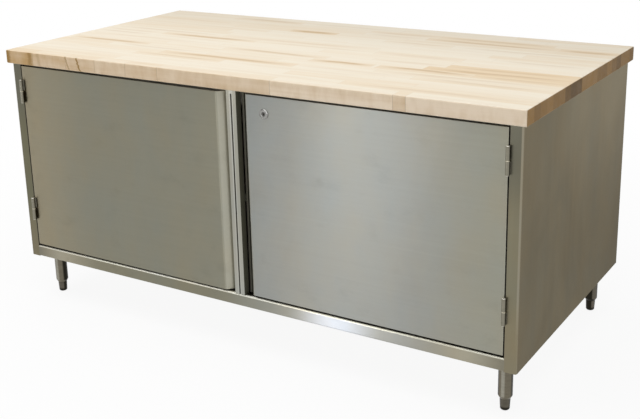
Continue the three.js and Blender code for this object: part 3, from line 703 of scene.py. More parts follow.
def softened(path, radii, steps=6):
    """A path whose corners are rounded to the given radii; 0 keeps a corner."""
    points = []
    for index, radius in enumerate(radii):
        corner = Vector(path[index])
        if radius == 0:
            points.append(corner)
            continue
        before = (Vector(path[index - 1]) - corner).normalized()
        after = (Vector(path[(index + 1) % len(path)]) - corner).normalized()
        half = before.angle(after) / 2
        middle = (before + after).normalized()
        start = (before * math.cos(half) - middle).normalized()
        end = (after * math.cos(half) - middle).normalized()
        centre = corner + middle * (radius / math.sin(half))
        points += [centre + start.slerp(end, step / steps) * radius for step in range(steps + 1)]
    return points


def sheet_section(path, gauge, bends):
    """The outline of a folded sheet whose outer face follows a path, with the metal on the path's left."""
    outer = softened(path, [0, *bends, 0])
    last = len(outer) - 1
    inner = []
    for index, point in enumerate(outer):
        into = (outer[max(index, 1)] - outer[max(index, 1) - 1]).normalized()
        onward = (outer[min(index, last - 1) + 1] - outer[min(index, last - 1)]).normalized()
        turn = into + onward
        inner.append(point + Vector((-turn.y, turn.x)) * (gauge / (1 + into.dot(onward))))
    return outer + inner[::-1]


def drawn_out(outline, axis, start, end):
    """An outline drawn out along X or Z into a closed bar."""
    shape = bmesh.new()
    rings = []
    for along in (start, end):
        places = [(along, u, v) if axis == ALONG_X else (u, v, along) for u, v in outline]
        rings.append([shape.verts.new(place) for place in places])
    shape.faces.new(rings[0])
    shape.faces.new(rings[1])
    for index in range(len(outline)):
        nearby = index - 1
        shape.faces.new((rings[0][nearby], rings[0][index], rings[1][index], rings[1][nearby]))
    bmesh.ops.recalc_face_normals(shape, faces=shape.faces)
    return shape


def lathed(points, sides=64):
    """A round body about Z, closed at its axis or bore, from points of radius, height and rounding."""
    shape = bmesh.new()
    angles = [2 * math.pi * side / sides for side in range(sides)]
    rings = []
    for radius, height in softened([point[:2] for point in points], [point[2] for point in points]):
        around = angles if radius > 0 else [0.0]
        rings.append([shape.verts.new((radius * math.cos(a), radius * math.sin(a), height)) for a in around])
    pairs = list(zip(rings, rings[1:]))
    if len(rings[0]) > 1:
        pairs.append((rings[-1], rings[0]))
    for lower, upper in pairs:
        for side in range(sides):
            onward = (side + 1) % sides
            around = ((lower, side), (lower, onward), (upper, onward), (upper, side))
            corners = [ring[index % len(ring)] for ring, index in around]
            shape.faces.new(list(dict.fromkeys(corners)))
    bmesh.ops.recalc_face_normals(shape, faces=shape.faces)
    return shape


def plate(low, high, ease=0.0004, segments=2):
    """A rectangular plate with eased edges."""
    shape = bmesh.new()
    bmesh.ops.create_cube(shape, size=1)
    size = Vector(high) - Vector(low)
    middle = (Vector(high) + Vector(low)) / 2
    moved(shape, Matrix.Translation(middle) @ Matrix.Diagonal((*size, 1)))
    return eased(shape, shape.edges, ease, segments)


def lay_grain(shape, grain):
    """A UV map in metres whose V runs along the brushing of each face."""
    shape.normal_update()
    layer = shape.loops.layers.uv.new("grain")
    for face in shape.faces:
        along = grain - face.normal * face.normal.dot(grain)
        if along.length < ACROSS_GRAIN:
            along = face.normal.orthogonal()
        along.normalize()
        across = face.normal.cross(along)
        for loop in face.loops:
            loop[layer].uv = (across.dot(loop.vert.co), along.dot(loop.vert.co))


def finished(name, shape, material, body, slot, *nodes):
    """A shape as a finished piece that rides a body, in place of the CAD nodes that it stands for."""
    mesh = mesh_of(shape, name)
    mesh.materials.clear()
    mesh.materials.append(material)
    mesh.shade_smooth()
    mesh.set_sharp_from_angle(angle=SHARP_ANGLE)
    piece = placed(name, mesh)
    even = piece.modifiers.new("Even normals", "WEIGHTED_NORMAL")
    even.keep_sharp = True
    baked = plain_mesh(piece)
    piece.modifiers.clear()
    piece.data = baked
    bpy.data.meshes.remove(mesh)
    baked.name = name
    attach(piece, body)
    if nodes:
        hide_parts(*nodes)


# The butcher block, with the most that chance gives a stave

MOST_HEART = 0.3
MOST_WARMTH = 0.42
SHORTEST_FILLER = 0.001
SHIFT_REACH = 40


def stave_rows(block):
    """Every stave of the block: row, left end, right end, heartwood, warmth."""
    chance = random.Random(block.seed)
    staves = []

    def add_by_chance(row, left, right):
        heart = MOST_HEART * chance.random() ** 3
        warmth = MOST_WARMTH * chance.random() ** 1.8
        staves.append((row, left, right, heart, warmth))

    for row in range(block.rows):
        reached = TOP_LOW.x
        known = sorted(stave[1:] for stave in SET_STAVES if stave[0] == row)
        for start, end, heart, warmth in known + [(TOP_HIGH.x, TOP_HIGH.x, 0, 0)]:
            while start - reached > block.longest:
                length = chance.uniform(block.shortest, block.longest)
                length = min(length, start - reached - block.shortest)
                add_by_chance(row, reached, reached + length)
                reached += length
            if start - reached > SHORTEST_FILLER:
                add_by_chance(row, reached, start)
            if end > start:
                staves.append((row, start, min(end, TOP_HIGH.x), heart, warmth))
            reached = end
    return staves


def stave_points(block):
    """A mesh with one point at the middle of each stave, which carries the stave's own values."""
    chance = random.Random(block.seed + 1)
    rows, lefts, rights, hearts, warmths = zip(*stave_rows(block))
    width = (TOP_HIGH.y - TOP_LOW.y) / block.rows
    middles = [(left + right) / 2 for left, right in zip(lefts, rights)]
    lengths = [right - left for left, right in zip(lefts, rights)]
    depths = [TOP_LOW.y + (row + 0.5) * width for row in rows]
    mesh = points_mesh((middle, depth, TOP_MIDDLE.z) for middle, depth in zip(middles, depths))
    for name, values in (("length", lengths), ("heart", hearts), ("warmth", warmths)):
        mesh.attributes.new(f"stave_{name}", "FLOAT", "POINT").data.foreach_set("value", values)
    shifts = [chance.uniform(0, SHIFT_REACH) for row in rows for axis in range(3)]
    mesh.attributes.new("stave_shift", "FLOAT_VECTOR", "POINT").data.foreach_set("vector", shifts)
    return mesh


def stave_tree(material):
    """Tree that sets a stave on each point, as long as the point says."""
    tree, sizes = started_tree("Butcher block staves", ("Stave width", "Thickness"))
    brick = node(tree, "GeometryNodeMeshCube", {"Size": (1, 1, 1)}).outputs["Mesh"]
    local = node(tree, "GeometryNodeInputPosition").outputs[0]
    inputs = {"Geometry": brick, "Name": "stave_local", "Value": local}
    marked = node(tree, "GeometryNodeStoreNamedAttribute", inputs, data_type="FLOAT_VECTOR", domain="POINT")
    length = node(tree, "GeometryNodeInputNamedAttribute", {"Name": "stave_length"}, data_type="FLOAT")
    inputs = {"X": length.outputs[0], "Y": sizes["Stave width"], "Z": sizes["Thickness"]}
    size = node(tree, "ShaderNodeCombineXYZ", inputs)
    return set_on_points(tree, sizes["Geometry"], marked.outputs[0], material, Scale=size.outputs[0])


def on_outer_arris(edge):
    """True if an edge of a stave lies on an outer edge of the whole block."""
    planes = 0
    for axis in range(3):
        for level in (TOP_LOW[axis], TOP_HIGH[axis]):
            planes += all(abs(vert.co[axis] - level) < TOUCH for vert in edge.verts)
    return planes >= 2


class WORKBENCH_OT_butcher_block(bpy.types.Operator):
    """Glue up the maple worktop from staves"""

    bl_idname = "workbench.butcher_block"
    bl_label = "Butcher block"

    def execute(self, context):
        block = context.scene.workbench_block
        material = maple(block)
        sizes = {"Stave width": (TOP_HIGH.y - TOP_LOW.y) / block.rows, "Thickness": TOP_HIGH.z - TOP_LOW.z}
        shape = grown(stave_points(block), stave_tree(material), sizes)
        arrises = [edge for edge in shape.edges if on_outer_arris(edge)]
        if not arrises:
            raise RuntimeError("the butcher block has no outer edges to ease")
        eased(shape, arrises, block.eased_edge, segments=4)
        finished("butcher_block", shape, material, "cabinet", "maple", "maple_top")
        return {"FINISHED"}


# Sheet steel, with sizes in metres

JAMB_SKIN = 0.0014
CAP_EASE = 0.0003
LOCK_HOLE = 0.0098
LOCK_HOLE_REACH = 0.03


class WORKBENCH_OT_end_panels(bpy.types.Operator):
    """Fold the end panels, each with its stile, its jamb and its rear flange"""

    bl_idname = "workbench.end_panels"
    bl_label = "End panels"

    def execute(self, context):
        steel = context.scene.workbench_steel
        colours = {
            "left": (steel.far_panel, steel.far_panel, steel.left_stile),
            # The right end carries painted shade and painted sheen; the left end keeps plain colours
            "right": (steel.panel, steel.panel_upper_sheen, steel.right_stile),
        }
        path = [
            (JAMB, FRONT + steel.jamb_depth),
            (JAMB, FRONT),
            (PANEL_HIGH.x, FRONT),
            (PANEL_HIGH.x, PANEL_HIGH.y),
            (PANEL_HIGH.x - steel.rear_flange, PANEL_HIGH.y),
        ]
        section = sheet_section(path, steel.sheet, [steel.bend, steel.corner_bend, steel.bend])
        front = turned_share(-ALONG_Y, 0.3, 0.8)
        for word, side in SIDES:
            face, head, stile = colours[word]
            regions = [
                # Painted sheen on the upper, rear part of the end panel
                (both(axis_share("Z", 0.3, 0.84), axis_share("Y", -0.6, 0.3, True)), head),
                (front, stile),
                # Painted shadow of the worktop on the top of the stile
                (both(front, axis_share("Z", 0.55, 0.76)), steel.stile_head_shade),
                # Painted highlight on the rounded front corner
                (turned_share((side * 0.6, -0.8, 0), 0.82, 0.98), steel.corner),
                (both(front, axis_share("Z", 0.4, 0.2)), steel.stile_foot),
                (turned_share((-side, 0, 0), 0.3, 0.8), steel.inside),
                # Painted shade on the jamb, in the gap beside the door
                (axis_share("X", JAMB + JAMB_SKIN, JAMB + JAMB_SKIN / 2), steel.jamb),
                (turned_share(ALONG_Y, 0.3, 0.8), steel.far_panel),
            ]
            material = brushed_steel(
                f"Brushed {word} end", face, ALONG_Z, 0.36, brush=0.6, regions=regions, grazing=steel.grazing
            )
            shape = drawn_out(mirrored(section, side), ALONG_Z, PANEL_LOW.z, PANEL_HIGH.z)
            lay_grain(shape, ALONG_Z)
            finished(f"{word}_end_sheet", shape, material, "cabinet", "cabinet_steel", f"{word}_end_panel")
        return {"FINISHED"}


class WORKBENCH_OT_front_frame(bpy.types.Operator):
    """Fold the bottom rail and the grooved post between the doors"""

    bl_idname = "workbench.front_frame"
    bl_label = "Front frame"

    def execute(self, context):
        steel = context.scene.workbench_steel
        self.add_rail(steel)
        self.add_post(steel)
        return {"FINISHED"}

    def add_rail(self, steel):
        path = [
            (RAIL_HIGH.y, RAIL_HIGH.z),
            (FRONT, RAIL_HIGH.z),
            (FRONT, RAIL_LOW.z),
            (FRONT + steel.rail_return, RAIL_LOW.z),
        ]
        reach = JAMB + steel.bend
        rail = drawn_out(sheet_section(path, steel.sheet, [steel.rail_bend] * 2), ALONG_X, -reach, reach)
        lay_grain(rail, ALONG_X)
        ledge = turned_share(ALONG_Z, 0.1, 0.35)
        right_half = axis_share("X", -0.2, 0.5, True)
        regions = [
            # Painted reflection of the front light, broad
            (spot_share(0.42, 0.6), steel.rail_lit),
            # Painted highlight: a brighter spot within the reflection
            (spot_share(0.335, 0.17), steel.glaring),
            (axis_share("X", 0.56, 0.8), steel.rail_end),
            (axis_share("X", 0.74, 0.9), steel.rail_tip),
            # Painted highlight on the upward-facing folds, dimmer on the right half
            (ledge, steel.ledge),
            (both(ledge, right_half), steel.ledge_right_highlight),
            # Painted shade on the ledge behind its rounded edge, under the doors
            (depth_share(0.007, 0.009), steel.rim),
            (both(right_half, depth_share(0.0035, 0.0055)), steel.rim),
        ]
        material = brushed_steel("Brushed rail", steel.rail, ALONG_X, 0.3, brush=1.0, regions=regions)
        finished("bottom_rail", rail, material, "cabinet", "cabinet_steel", "front_bottom_rail")

    def add_post(self, steel):
        groove = steel.groove_width / 2
        right_half = [
            (groove, FRONT + steel.groove_depth),
            (groove, FRONT),
            (POST_HIGH.x, FRONT),
            (POST_HIGH.x, FRONT + steel.jamb_depth),
        ]
        path = mirrored(right_half, -1)[::-1] + right_half
        post = drawn_out(sheet_section(path, steel.sheet, [steel.bend] * 6), ALONG_Z, POST_LOW.z, POST_HIGH.z)
        cap = groove + steel.bend
        cap_low = (-cap, FRONT, POST_HIGH.z - steel.cap_height)
        post = joined(post, plate(cap_low, (cap, FRONT + steel.sheet, POST_HIGH.z), CAP_EASE))
        lay_grain(post, ALONG_Z)
        # The sides of the post: painted shade in the recess, and a rougher finish
        flanks = both(turned_share(ALONG_X, 0.6, 0.9), axis_share("X", 0.006, 0.01))
        regions = [
            (axis_share("Z", 0.6, 0.3), steel.post_foot),
            # Painted highlight beside the groove
            (axis_share("X", 0.008, 0.005), steel.post_lip_highlight),
            (flanks, steel.post_side_shade),
        ]
        material = brushed_steel(
            "Brushed centre post", steel.post, ALONG_Z, 0.3, brush=0.6, regions=regions, dull=flanks
        )
        finished("centre_post", post, material, "cabinet", "cabinet_steel", "centre_mullion")


def door_pan(side, steel):
    """The outer sheet of a door: face, edges and bevelled pull, with its folds rounded."""
    back = DOOR_HIGH.y
    bend = DOOR_LOW.x + steel.pull_depth
    outline = [(DOOR_HIGH.x, back), (DOOR_HIGH.x, FRONT), (bend, FRONT), (DOOR_LOW.x, back)]
    shape = drawn_out(mirrored(outline, side), ALONG_Z, DOOR_LOW.z, DOOR_HIGH.z)
    open_back = [face for face in shape.faces if all(abs(vert.co.y - back) < TOUCH for vert in face.verts)]
    bmesh.ops.delete(shape, geom=open_back, context="FACES_ONLY")
    pull = [edge for edge in shape.edges if all(abs(abs(vert.co.x) - bend) < TOUCH for vert in edge.verts)]
    eased(shape, pull, steel.pull_bend, segments=6)
    folds = [edge for edge in shape.edges if not edge.is_boundary and edge.calc_face_angle() > FOLD_ANGLE]
    eased(shape, folds, steel.bend, segments=5)
    return reshaped(mesh_of(shape), "SOLIDIFY", thickness=steel.door_sheet, offset=-1)


class WORKBENCH_OT_doors(bpy.types.Operator):
    """Press the door pans with their bevelled pull edges"""

    bl_idname = "workbench.doors"
    bl_label = "Doors"

    def execute(self, context):
        steel = context.scene.workbench_steel
        colours = {
            "left": (steel.left_door, steel.left_hinge_reflection),
            "right": (steel.right_door, steel.right_hinge_reflection),
        }
        for word, side in SIDES:
            face, hinged = colours[word]
            regions = [
                # Painted reflection: each door lighter and warmer towards its hinges
                (axis_share("X", 0.55, 0.87), hinged),
                # Painted highlight on the upright folds and the bevelled pull
                (axis_share("X", 0.0, 0.65, output="Normal"), steel.edge),
                # Painted shade on the top and bottom folds, in the gaps
                (axis_share("Z", 0.5, 0.8, output="Normal"), steel.rim),
            ]
            material = brushed_steel(f"Brushed {word} door", face, ALONG_X, 0.38, brush=0.92, regions=regions)
            shape = door_pan(side, steel)
            shape = self.with_sag(shape) if word == "left" else self.with_lock_hole(shape)
            lay_grain(shape, ALONG_X)
            finished(f"{word}_door_pan", shape, material, f"{word}_door", "door_steel", f"{word}_door_skin")
        return {"FINISHED"}

    def with_sag(self, shape):
        """A door that hangs low at its free edge."""
        slope = (LEFT_DOOR_LOW.z - DOOR_LOW.z) / (LEFT_DOOR_HIGH.x - LEFT_DOOR_LOW.x)
        for vert in shape.verts:
            vert.co.z += slope * (vert.co.x - LEFT_DOOR_LOW.x)
        return shape

    def with_lock_hole(self, shape):
        """A door with the round hole for the lock."""
        low, high = -LOCK_HOLE_REACH, LOCK_HOLE_REACH
        hole = lathed([(0, low, 0), (LOCK_HOLE, low, 0), (LOCK_HOLE, high, 0), (0, high, 0)])
        return cut_from(shape, moved(hole, Matrix.Translation(JOINTS["lock_turn"]["pos_m"]) @ FACING_FRONT))


# Hinges, with sizes in metres

HINGE_SIDES = 48
BARREL_ROUND = 0.002
PIN_ROUND = 0.0008
PIN_CLEARANCE = 0.00007
PIN_END_GAP = 0.001
PAD_SECTION = ((0.0022, 0.0045), (0.0045, 0.0022), (0.0072, 0.0062), (0.0022, 0.0062))
PAD_END = 0.003
BEAD_X = 0.0057
BEAD_Y = 0.0046
BEAD_END = 0.004

# Painted shade on one side of the hinges: its direction, where it starts and where it is full
SHADED_HINGE_SIDES = {"left": ((0.954, 0.3, 0), 0.8, 0.99), "right": ((0.98, 0.1, 0), 0.6, 0.95)}


def weld_tree(material):
    """Tree that sets a flat weld ripple on each point."""
    tree, sizes = started_tree("Weld ripples", ("Bead",))
    ripple = node(tree, "GeometryNodeMeshUVSphere", {"Segments": 8, "Rings": 5, "Radius": sizes["Bead"]})
    return set_on_points(tree, sizes["Geometry"], ripple.outputs["Mesh"], material, Scale=(1.0, 1.0, 0.8))


def weld_line(corner, bottom, top, pitch):
    """Points for the ripples of an upright weld."""
    start = corner + ALONG_Z * (bottom + BEAD_END)
    end = corner + ALONG_Z * (top - BEAD_END)
    count = max(2, round((end - start).length / pitch))
    return [start.lerp(end, step / count) for step in range(count + 1)]


class WORKBENCH_OT_hinges(bpy.types.Operator):
    """Turn the weld-on barrel hinges, with their washers and weld beads"""

    bl_idname = "workbench.hinges"
    bl_label = "Hinges"

    def execute(self, context):
        hardware = context.scene.workbench_hardware
        brass = turned_metal("Bright washer", hardware.brass, 0.22, grime=0.15)
        weld_steel = turned_metal("Welds", hardware.hinge_shade_and_weld, 0.4)
        beads = weld_tree(weld_steel)
        welds = {"cabinet": [], "left_door": [], "right_door": []}
        for word, side in SIDES:
            regions = [
                # Painted shade on one side of the barrels
                (turned_share(*SHADED_HINGE_SIDES[word]), hardware.hinge_shade_and_weld),
                # Painted highlight on the ends of the barrels
                (axis_share("Z", 0.15, 0.5, output="Normal"), hardware.hinge_cap_highlight),
            ]
            material = turned_metal(f"Satin {word} hinges", hardware.hinge, 0.3, regions=regions)
            axis = Vector(JOINTS[f"{word}_door_swing"]["pos_m"])
            axis.z = 0
            here = Matrix.Translation(axis)
            for level in LEVELS:
                hinge = f"{word}_{level}_hinge"
                lower, upper, ring = self.profiles(hinge, axis, hardware)
                barrels = (
                    ("lower_barrel", "frame_knuckle", "cabinet", side, lower),
                    ("upper_barrel", "door_knuckle", f"{word}_door", -side, upper),
                )
                for piece, knuckle, body, toward, (profile, bottom, top) in barrels:
                    pad = drawn_out(mirrored(PAD_SECTION, toward), ALONG_Z, bottom + PAD_END, top - PAD_END)
                    shape = moved(joined(lathed(profile, HINGE_SIDES), pad), here)
                    finished(f"{hinge}_{piece}", shape, material, body, "hinge_steel", f"{hinge}_{knuckle}")
                    corner = axis + Vector((toward * BEAD_X, BEAD_Y, 0))
                    welds[body] += weld_line(corner, bottom, top, hardware.bead_pitch)
                shape = moved(lathed(ring, HINGE_SIDES), here)
                finished(f"{hinge}_ring", shape, brass, "cabinet", "washer_brass", f"{hinge}_washer")
        for body, points in welds.items():
            shape = grown(points_mesh(points), beads, {"Bead": hardware.bead})
            finished(f"{body}_hinge_welds", shape, weld_steel, body, "hinge_steel")
        return {"FINISHED"}

    def profiles(self, hinge, axis, hardware):
        """The lower barrel with its pin and the upper barrel, each with its ends, and the washer."""
        low, pin_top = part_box(f"{hinge}_frame_knuckle")
        ring_low, ring_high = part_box(f"{hinge}_washer")
        door_low, door_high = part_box(f"{hinge}_door_knuckle")
        outer = hardware.barrel
        pin = hardware.pin
        bore = pin + PIN_CLEARANCE
        bore_end = pin_top.z + PIN_END_GAP
        rim = ring_high.x - axis.x
        lower = [
            (0, low.z, 0),
            (outer, low.z, BARREL_ROUND),
            (outer, ring_low.z, EDGE_ROUND),
            (pin, ring_low.z, 0),
            (pin, pin_top.z, PIN_ROUND),
            (0, pin_top.z, 0),
        ]
        upper = [
            (0, bore_end, 0),
            (bore, bore_end, 0),
            (bore, door_low.z, 0),
            (outer, door_low.z, EDGE_ROUND),
            (outer, door_high.z, BARREL_ROUND),
            (0, door_high.z, 0),
        ]
        ring = [
            (bore, ring_low.z, 0),
            (rim, ring_low.z, EDGE_ROUND),
            (rim, ring_high.z, EDGE_ROUND),
            (bore, ring_high.z, 0),
        ]
        return (lower, low.z, ring_low.z), (upper, door_low.z, door_high.z), ring


# Lock, with sizes in metres and shares of them

LOCK_BODY = 0.0095
LOCK_TAIL = 0.004
LOCK_BEVEL = 0.55
LOCK_FACE = 0.003
LOCK_DISH = 0.0022
PLUG_CLEARANCE = 0.00006
PLUG_RIM = 0.0018
PLUG_DISH = 0.0004
KEYWAY_DEPTH = 0.005
KEYWAY_EASE = 0.0002
KEYWAY_CUTS = (((-0.0012, -0.0038), (0.0012, 0.0038)), ((0.0, -0.0014), (0.0022, 0.0006)))


class WORKBENCH_OT_lock(bpy.types.Operator):
    """Turn the key lock: bezel and barrel, and the plug with its keyway"""

    bl_idname = "workbench.lock"
    bl_label = "Lock"

    def execute(self, context):
        hardware = context.scene.workbench_hardware
        glint = (turned_share((0.5, -0.55, 0.67), 0.72, 0.92), hardware.glint)
        chrome = turned_metal(
            "Polished lock", hardware.chrome, 0.14, contrast=0.08, grime=0.12, regions=[glint]
        )
        plug_steel = turned_metal("Lock plug", hardware.plug, 0.25, contrast=0.1)
        place = Matrix.Translation(JOINTS["lock_turn"]["pos_m"]) @ FACING_FRONT
        low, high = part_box("lock_housing")
        plug_low, plug_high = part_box("lock_plug")
        rim = round_size(low, high)
        plug = round_size(plug_low, plug_high)
        bore = plug + PLUG_CLEARANCE
        front = FRONT - low.y
        back = FRONT - high.y
        plug_front = FRONT - plug_low.y
        plug_back = FRONT - plug_high.y
        bezel = lathed([
            (bore, back, 0),
            (LOCK_BODY, back, 0.0004),
            (LOCK_BODY, SEAM, 0.0002),
            (rim, SEAM, 0.0004),
            (rim, front * LOCK_BEVEL, 0.0012),
            (rim - LOCK_FACE, front, 0.0012),
            (bore + LOCK_DISH, front, 0.0008),
            (bore, plug_front, 0),
        ])
        finished("lock_bezel", moved(bezel, place), chrome, "right_door", "lock_chrome", "lock_housing")
        dish = plug_front - PLUG_DISH
        core = lathed([
            (0, plug_back, 0),
            (LOCK_TAIL, plug_back, 0.0004),
            (LOCK_TAIL, back - SEAM, 0),
            (plug, back - SEAM, EDGE_ROUND),
            (plug, plug_front, EDGE_ROUND),
            (plug - PLUG_RIM, plug_front, 0),
            (plug - PLUG_RIM - PLUG_DISH, dish, 0),
            (0, dish, 0),
        ])
        for cut_low, cut_high in KEYWAY_CUTS:
            bottom = (*cut_low, plug_front - KEYWAY_DEPTH)
            top = (*cut_high, plug_front + KEYWAY_DEPTH)
            core = cut_from(core, plate(bottom, top, KEYWAY_EASE))
        finished("lock_core", moved(core, place), plug_steel, "lock_core", "lock_chrome", "lock_plug")
        return {"FINISHED"}


# Legs and feet, with sizes in metres

LEG_BORE = 0.0081
LEG_LIP = 0.0155
LEG_TAPER = 0.009
LEG_PLUG = 0.03
CUP_WALL = 0.005
CUP_FLANGE = 0.004
FOOT_BASE = 0.0108
FOOT_SWELL = 0.0136
FOOT_SWELL_HEIGHT = 0.0032
FOOT_BAND = 0.004
THREAD_END = 0.002


def thread_tree(material):
    """Tree that winds a thread round the stem of a foot and joins it to the foot."""
    tree, sizes = started_tree("Foot thread", ("Turns", "Stem radius", "Thread height", "Stem base", "Ridge"))
    inputs = {"Resolution": 24, "Rotations": sizes["Turns"], "Height": sizes["Thread height"]}
    inputs |= {"Start Radius": sizes["Stem radius"], "End Radius": sizes["Stem radius"]}
    helix = node(tree, "GeometryNodeCurveSpiral", inputs).outputs[0]
    inputs = {"Resolution": 4, "Radius": sizes["Ridge"]}
    ridge = node(tree, "GeometryNodeCurvePrimitiveCircle", inputs, mode="RADIUS").outputs[0]
    inputs = {"Curve": helix, "Profile Curve": ridge, "Fill Caps": True}
    wound = node(tree, "GeometryNodeCurveToMesh", inputs).outputs[0]
    base = node(tree, "ShaderNodeCombineXYZ", {"Z": sizes["Stem base"]}).outputs[0]
    raised = node(tree, "GeometryNodeTransform", {"Geometry": wound, "Translation": base}).outputs[0]
    together = node(tree, "GeometryNodeJoinGeometry", {"Geometry": sizes["Geometry"]})
    tree.links.new(raised, together.inputs[0])
    return ended_tree(tree, together.outputs[0], material)


class WORKBENCH_OT_legs(bpy.types.Operator):
    """Make the tube legs, their sockets and the bullet feet with threaded stems"""

    bl_idname = "workbench.legs"
    bl_label = "Legs and feet"

    def execute(self, context):
        hardware = context.scene.workbench_hardware
        inside = context.scene.workbench_steel.inside
        on_left = axis_share("X", 0.2, -0.2, True)
        on_right = axis_share("X", -0.2, 0.2, True)
        at_rear = axis_share("Y", 0, 0.3, True)
        # Painted shade on the side of each leg and foot away from the light, on the left edge of the right
        # legs and on the front of the rear legs under the cabinet
        shaded = [
            (both(on_left, turned_share((0.95, 0.3, 0), 0.55, 0.8)), hardware.shade),
            (both(on_right, turned_share((0.97, 0.1, 0), 0.8, 0.97)), hardware.shade),
            (both(on_right, turned_share((-0.85, -0.53, 0), 0.9, 1.0)), hardware.shade),
            (both(at_rear, turned_share(-ALONG_Y, -0.2, 0.4)), hardware.shade),
            # Painted highlight: a lighter strip on the rear legs, in the colour of the feet
            (both(at_rear, turned_share((0.8, -0.6, 0), 0.88, 0.97)), hardware.foot),
        ]
        # Painted highlight: a bright strip down the front of each leg
        leg_lit = [(turned_share(-ALONG_Y, 0.94, 0.995), hardware.leg_lit), *shaded]
        leg_steel = turned_metal("Satin leg steel", hardware.leg, 0.3, rings=260, grime=0.4, regions=leg_lit)
        # The feet: painted shade, and darker towards the floor
        foot_darkening = [*shaded, (axis_share("Z", 0.014, 0.006), hardware.shade)]
        foot_steel = turned_metal("Dark turned foot", hardware.foot, 0.34, grime=0.55, regions=foot_darkening)
        cup_steel = turned_metal("Welded socket", inside, 0.42, rings=120, grime=0.5)
        threads = thread_tree(foot_steel)
        for corner in CORNERS:
            low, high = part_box(f"{corner}_leg")
            middle = (low + high) / 2
            here = Matrix.Translation((middle.x, middle.y, 0))
            tube = moved(self.tube(low, high, hardware), here)
            finished(f"{corner}_tube", tube, leg_steel, "cabinet", "leg_steel", f"{corner}_leg")
            cup = moved(self.cup(corner, round_size(low, high)), here)
            finished(f"{corner}_cup", cup, cup_steel, "cabinet", "cabinet_steel", f"{corner}_leg_socket")
            foot = moved(self.foot(corner, low.z - SEAM, hardware, threads), here)
            finished(f"{corner}_bullet", foot, foot_steel, f"{corner}_foot", "foot_steel", f"{corner}_foot")
        return {"FINISHED"}

    def tube(self, low, high, hardware):
        """A leg tube with its tapered lower end, which is bored for the foot."""
        outer = round_size(low, high)
        inner = outer - hardware.leg_wall
        return lathed([
            (LEG_BORE, low.z, 0),
            (LEG_LIP, low.z, 0.0012),
            (outer, low.z + LEG_TAPER, 0.006),
            (outer, high.z, EDGE_ROUND),
            (inner, high.z, EDGE_ROUND),
            (inner, low.z + LEG_PLUG, 0),
            (LEG_BORE, low.z + LEG_PLUG, 0),
        ])

    def cup(self, corner, leg):
        """The flanged socket round the top of a leg of this radius."""
        low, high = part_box(f"{corner}_leg_socket")
        flange = round_size(low, high)
        inner = leg + SEAM
        wall = inner + CUP_WALL
        return lathed([
            (inner, low.z, EDGE_ROUND),
            (wall, low.z, 0.001),
            (wall, high.z - CUP_FLANGE, 0.0025),
            (flange, high.z - CUP_FLANGE, 0.001),
            (flange, high.z, EDGE_ROUND),
            (inner, high.z, EDGE_ROUND),
        ])

    def foot(self, corner, shoulder, hardware, threads):
        """A bullet foot up to its shoulder, with its threaded stem."""
        low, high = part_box(f"{corner}_foot")
        radius = round_size(low, high)
        bullet = lathed([
            (0, low.z, 0),
            (FOOT_BASE, low.z, 0.0016),
            (FOOT_SWELL, FOOT_SWELL_HEIGHT, 0.004),
            (radius, shoulder - FOOT_BAND, 0.002),
            (radius, shoulder, 0.0008),
            (hardware.stem, shoulder, 0),
            (hardware.stem, high.z, 0.001),
            (0, high.z, 0),
        ])
        length = high.z - shoulder - 2 * THREAD_END
        sizes = {
            "Turns": length / hardware.thread_pitch,
            "Stem radius": hardware.stem,
            "Thread height": length,
            "Stem base": shoulder + THREAD_END,
            "Ridge": hardware.ridge,
        }
        return grown(mesh_of(bullet), threads, sizes)


# Small fittings, with sizes in metres and shares of them

SMALL_SIDES = 32
SCREW_HEAD = 0.0035
SCREW_SHANK = 0.0024
SCREW_POINT = 0.005
CROSS_REACH = 0.0028
CROSS_HALF = 0.0006
CROSS_DEPTH = 0.0016
CROSS_MARGIN = 0.001
CROSS_EASE = 0.0001
BUMPER_SIDE = 0.45
BUMPER_FACE = 0.55
CATCH_CORNER = 0.004
CATCH_EASE = 0.0006
POLE_PROUD = 0.0004
POLE_INSET = 0.006
POLE_DEPTH = 0.01
POLE_HALF = 0.0008
POLE_SPREAD = 0.003
POLE_EASE = 0.0002
SPOT_COUNT = 13
SPOT_MARGIN = 0.04
SPOT_INSET = 0.55
SPOT_FACE = 0.72


def scattered_tree(name, material):
    """Tree that sets a copy of one modelled fitting at the four corners of a rectangle."""
    tree, sizes = started_tree(name, ("Spread X", "Spread Y"))
    inputs = {"Size X": sizes["Spread X"], "Size Y": sizes["Spread Y"], "Vertices X": 2, "Vertices Y": 2}
    grid = node(tree, "GeometryNodeMeshGrid", inputs).outputs["Mesh"]
    return set_on_points(tree, grid, sizes["Geometry"], material)


def spot_tree(material):
    """Tree that sets a flat spot weld on each point, facing the back."""
    tree, sizes = started_tree("Spot welds", ("Spot", "Depth"))
    inputs = {"Vertices": 16, "Radius Bottom": sizes["Spot"], "Depth": sizes["Depth"]}
    inputs["Radius Top"] = product(tree, sizes["Spot"], SPOT_FACE)
    spot = node(tree, "GeometryNodeMeshCone", inputs).outputs["Mesh"]
    return set_on_points(tree, sizes["Geometry"], spot, material, Rotation=(-math.pi / 2, 0, 0))


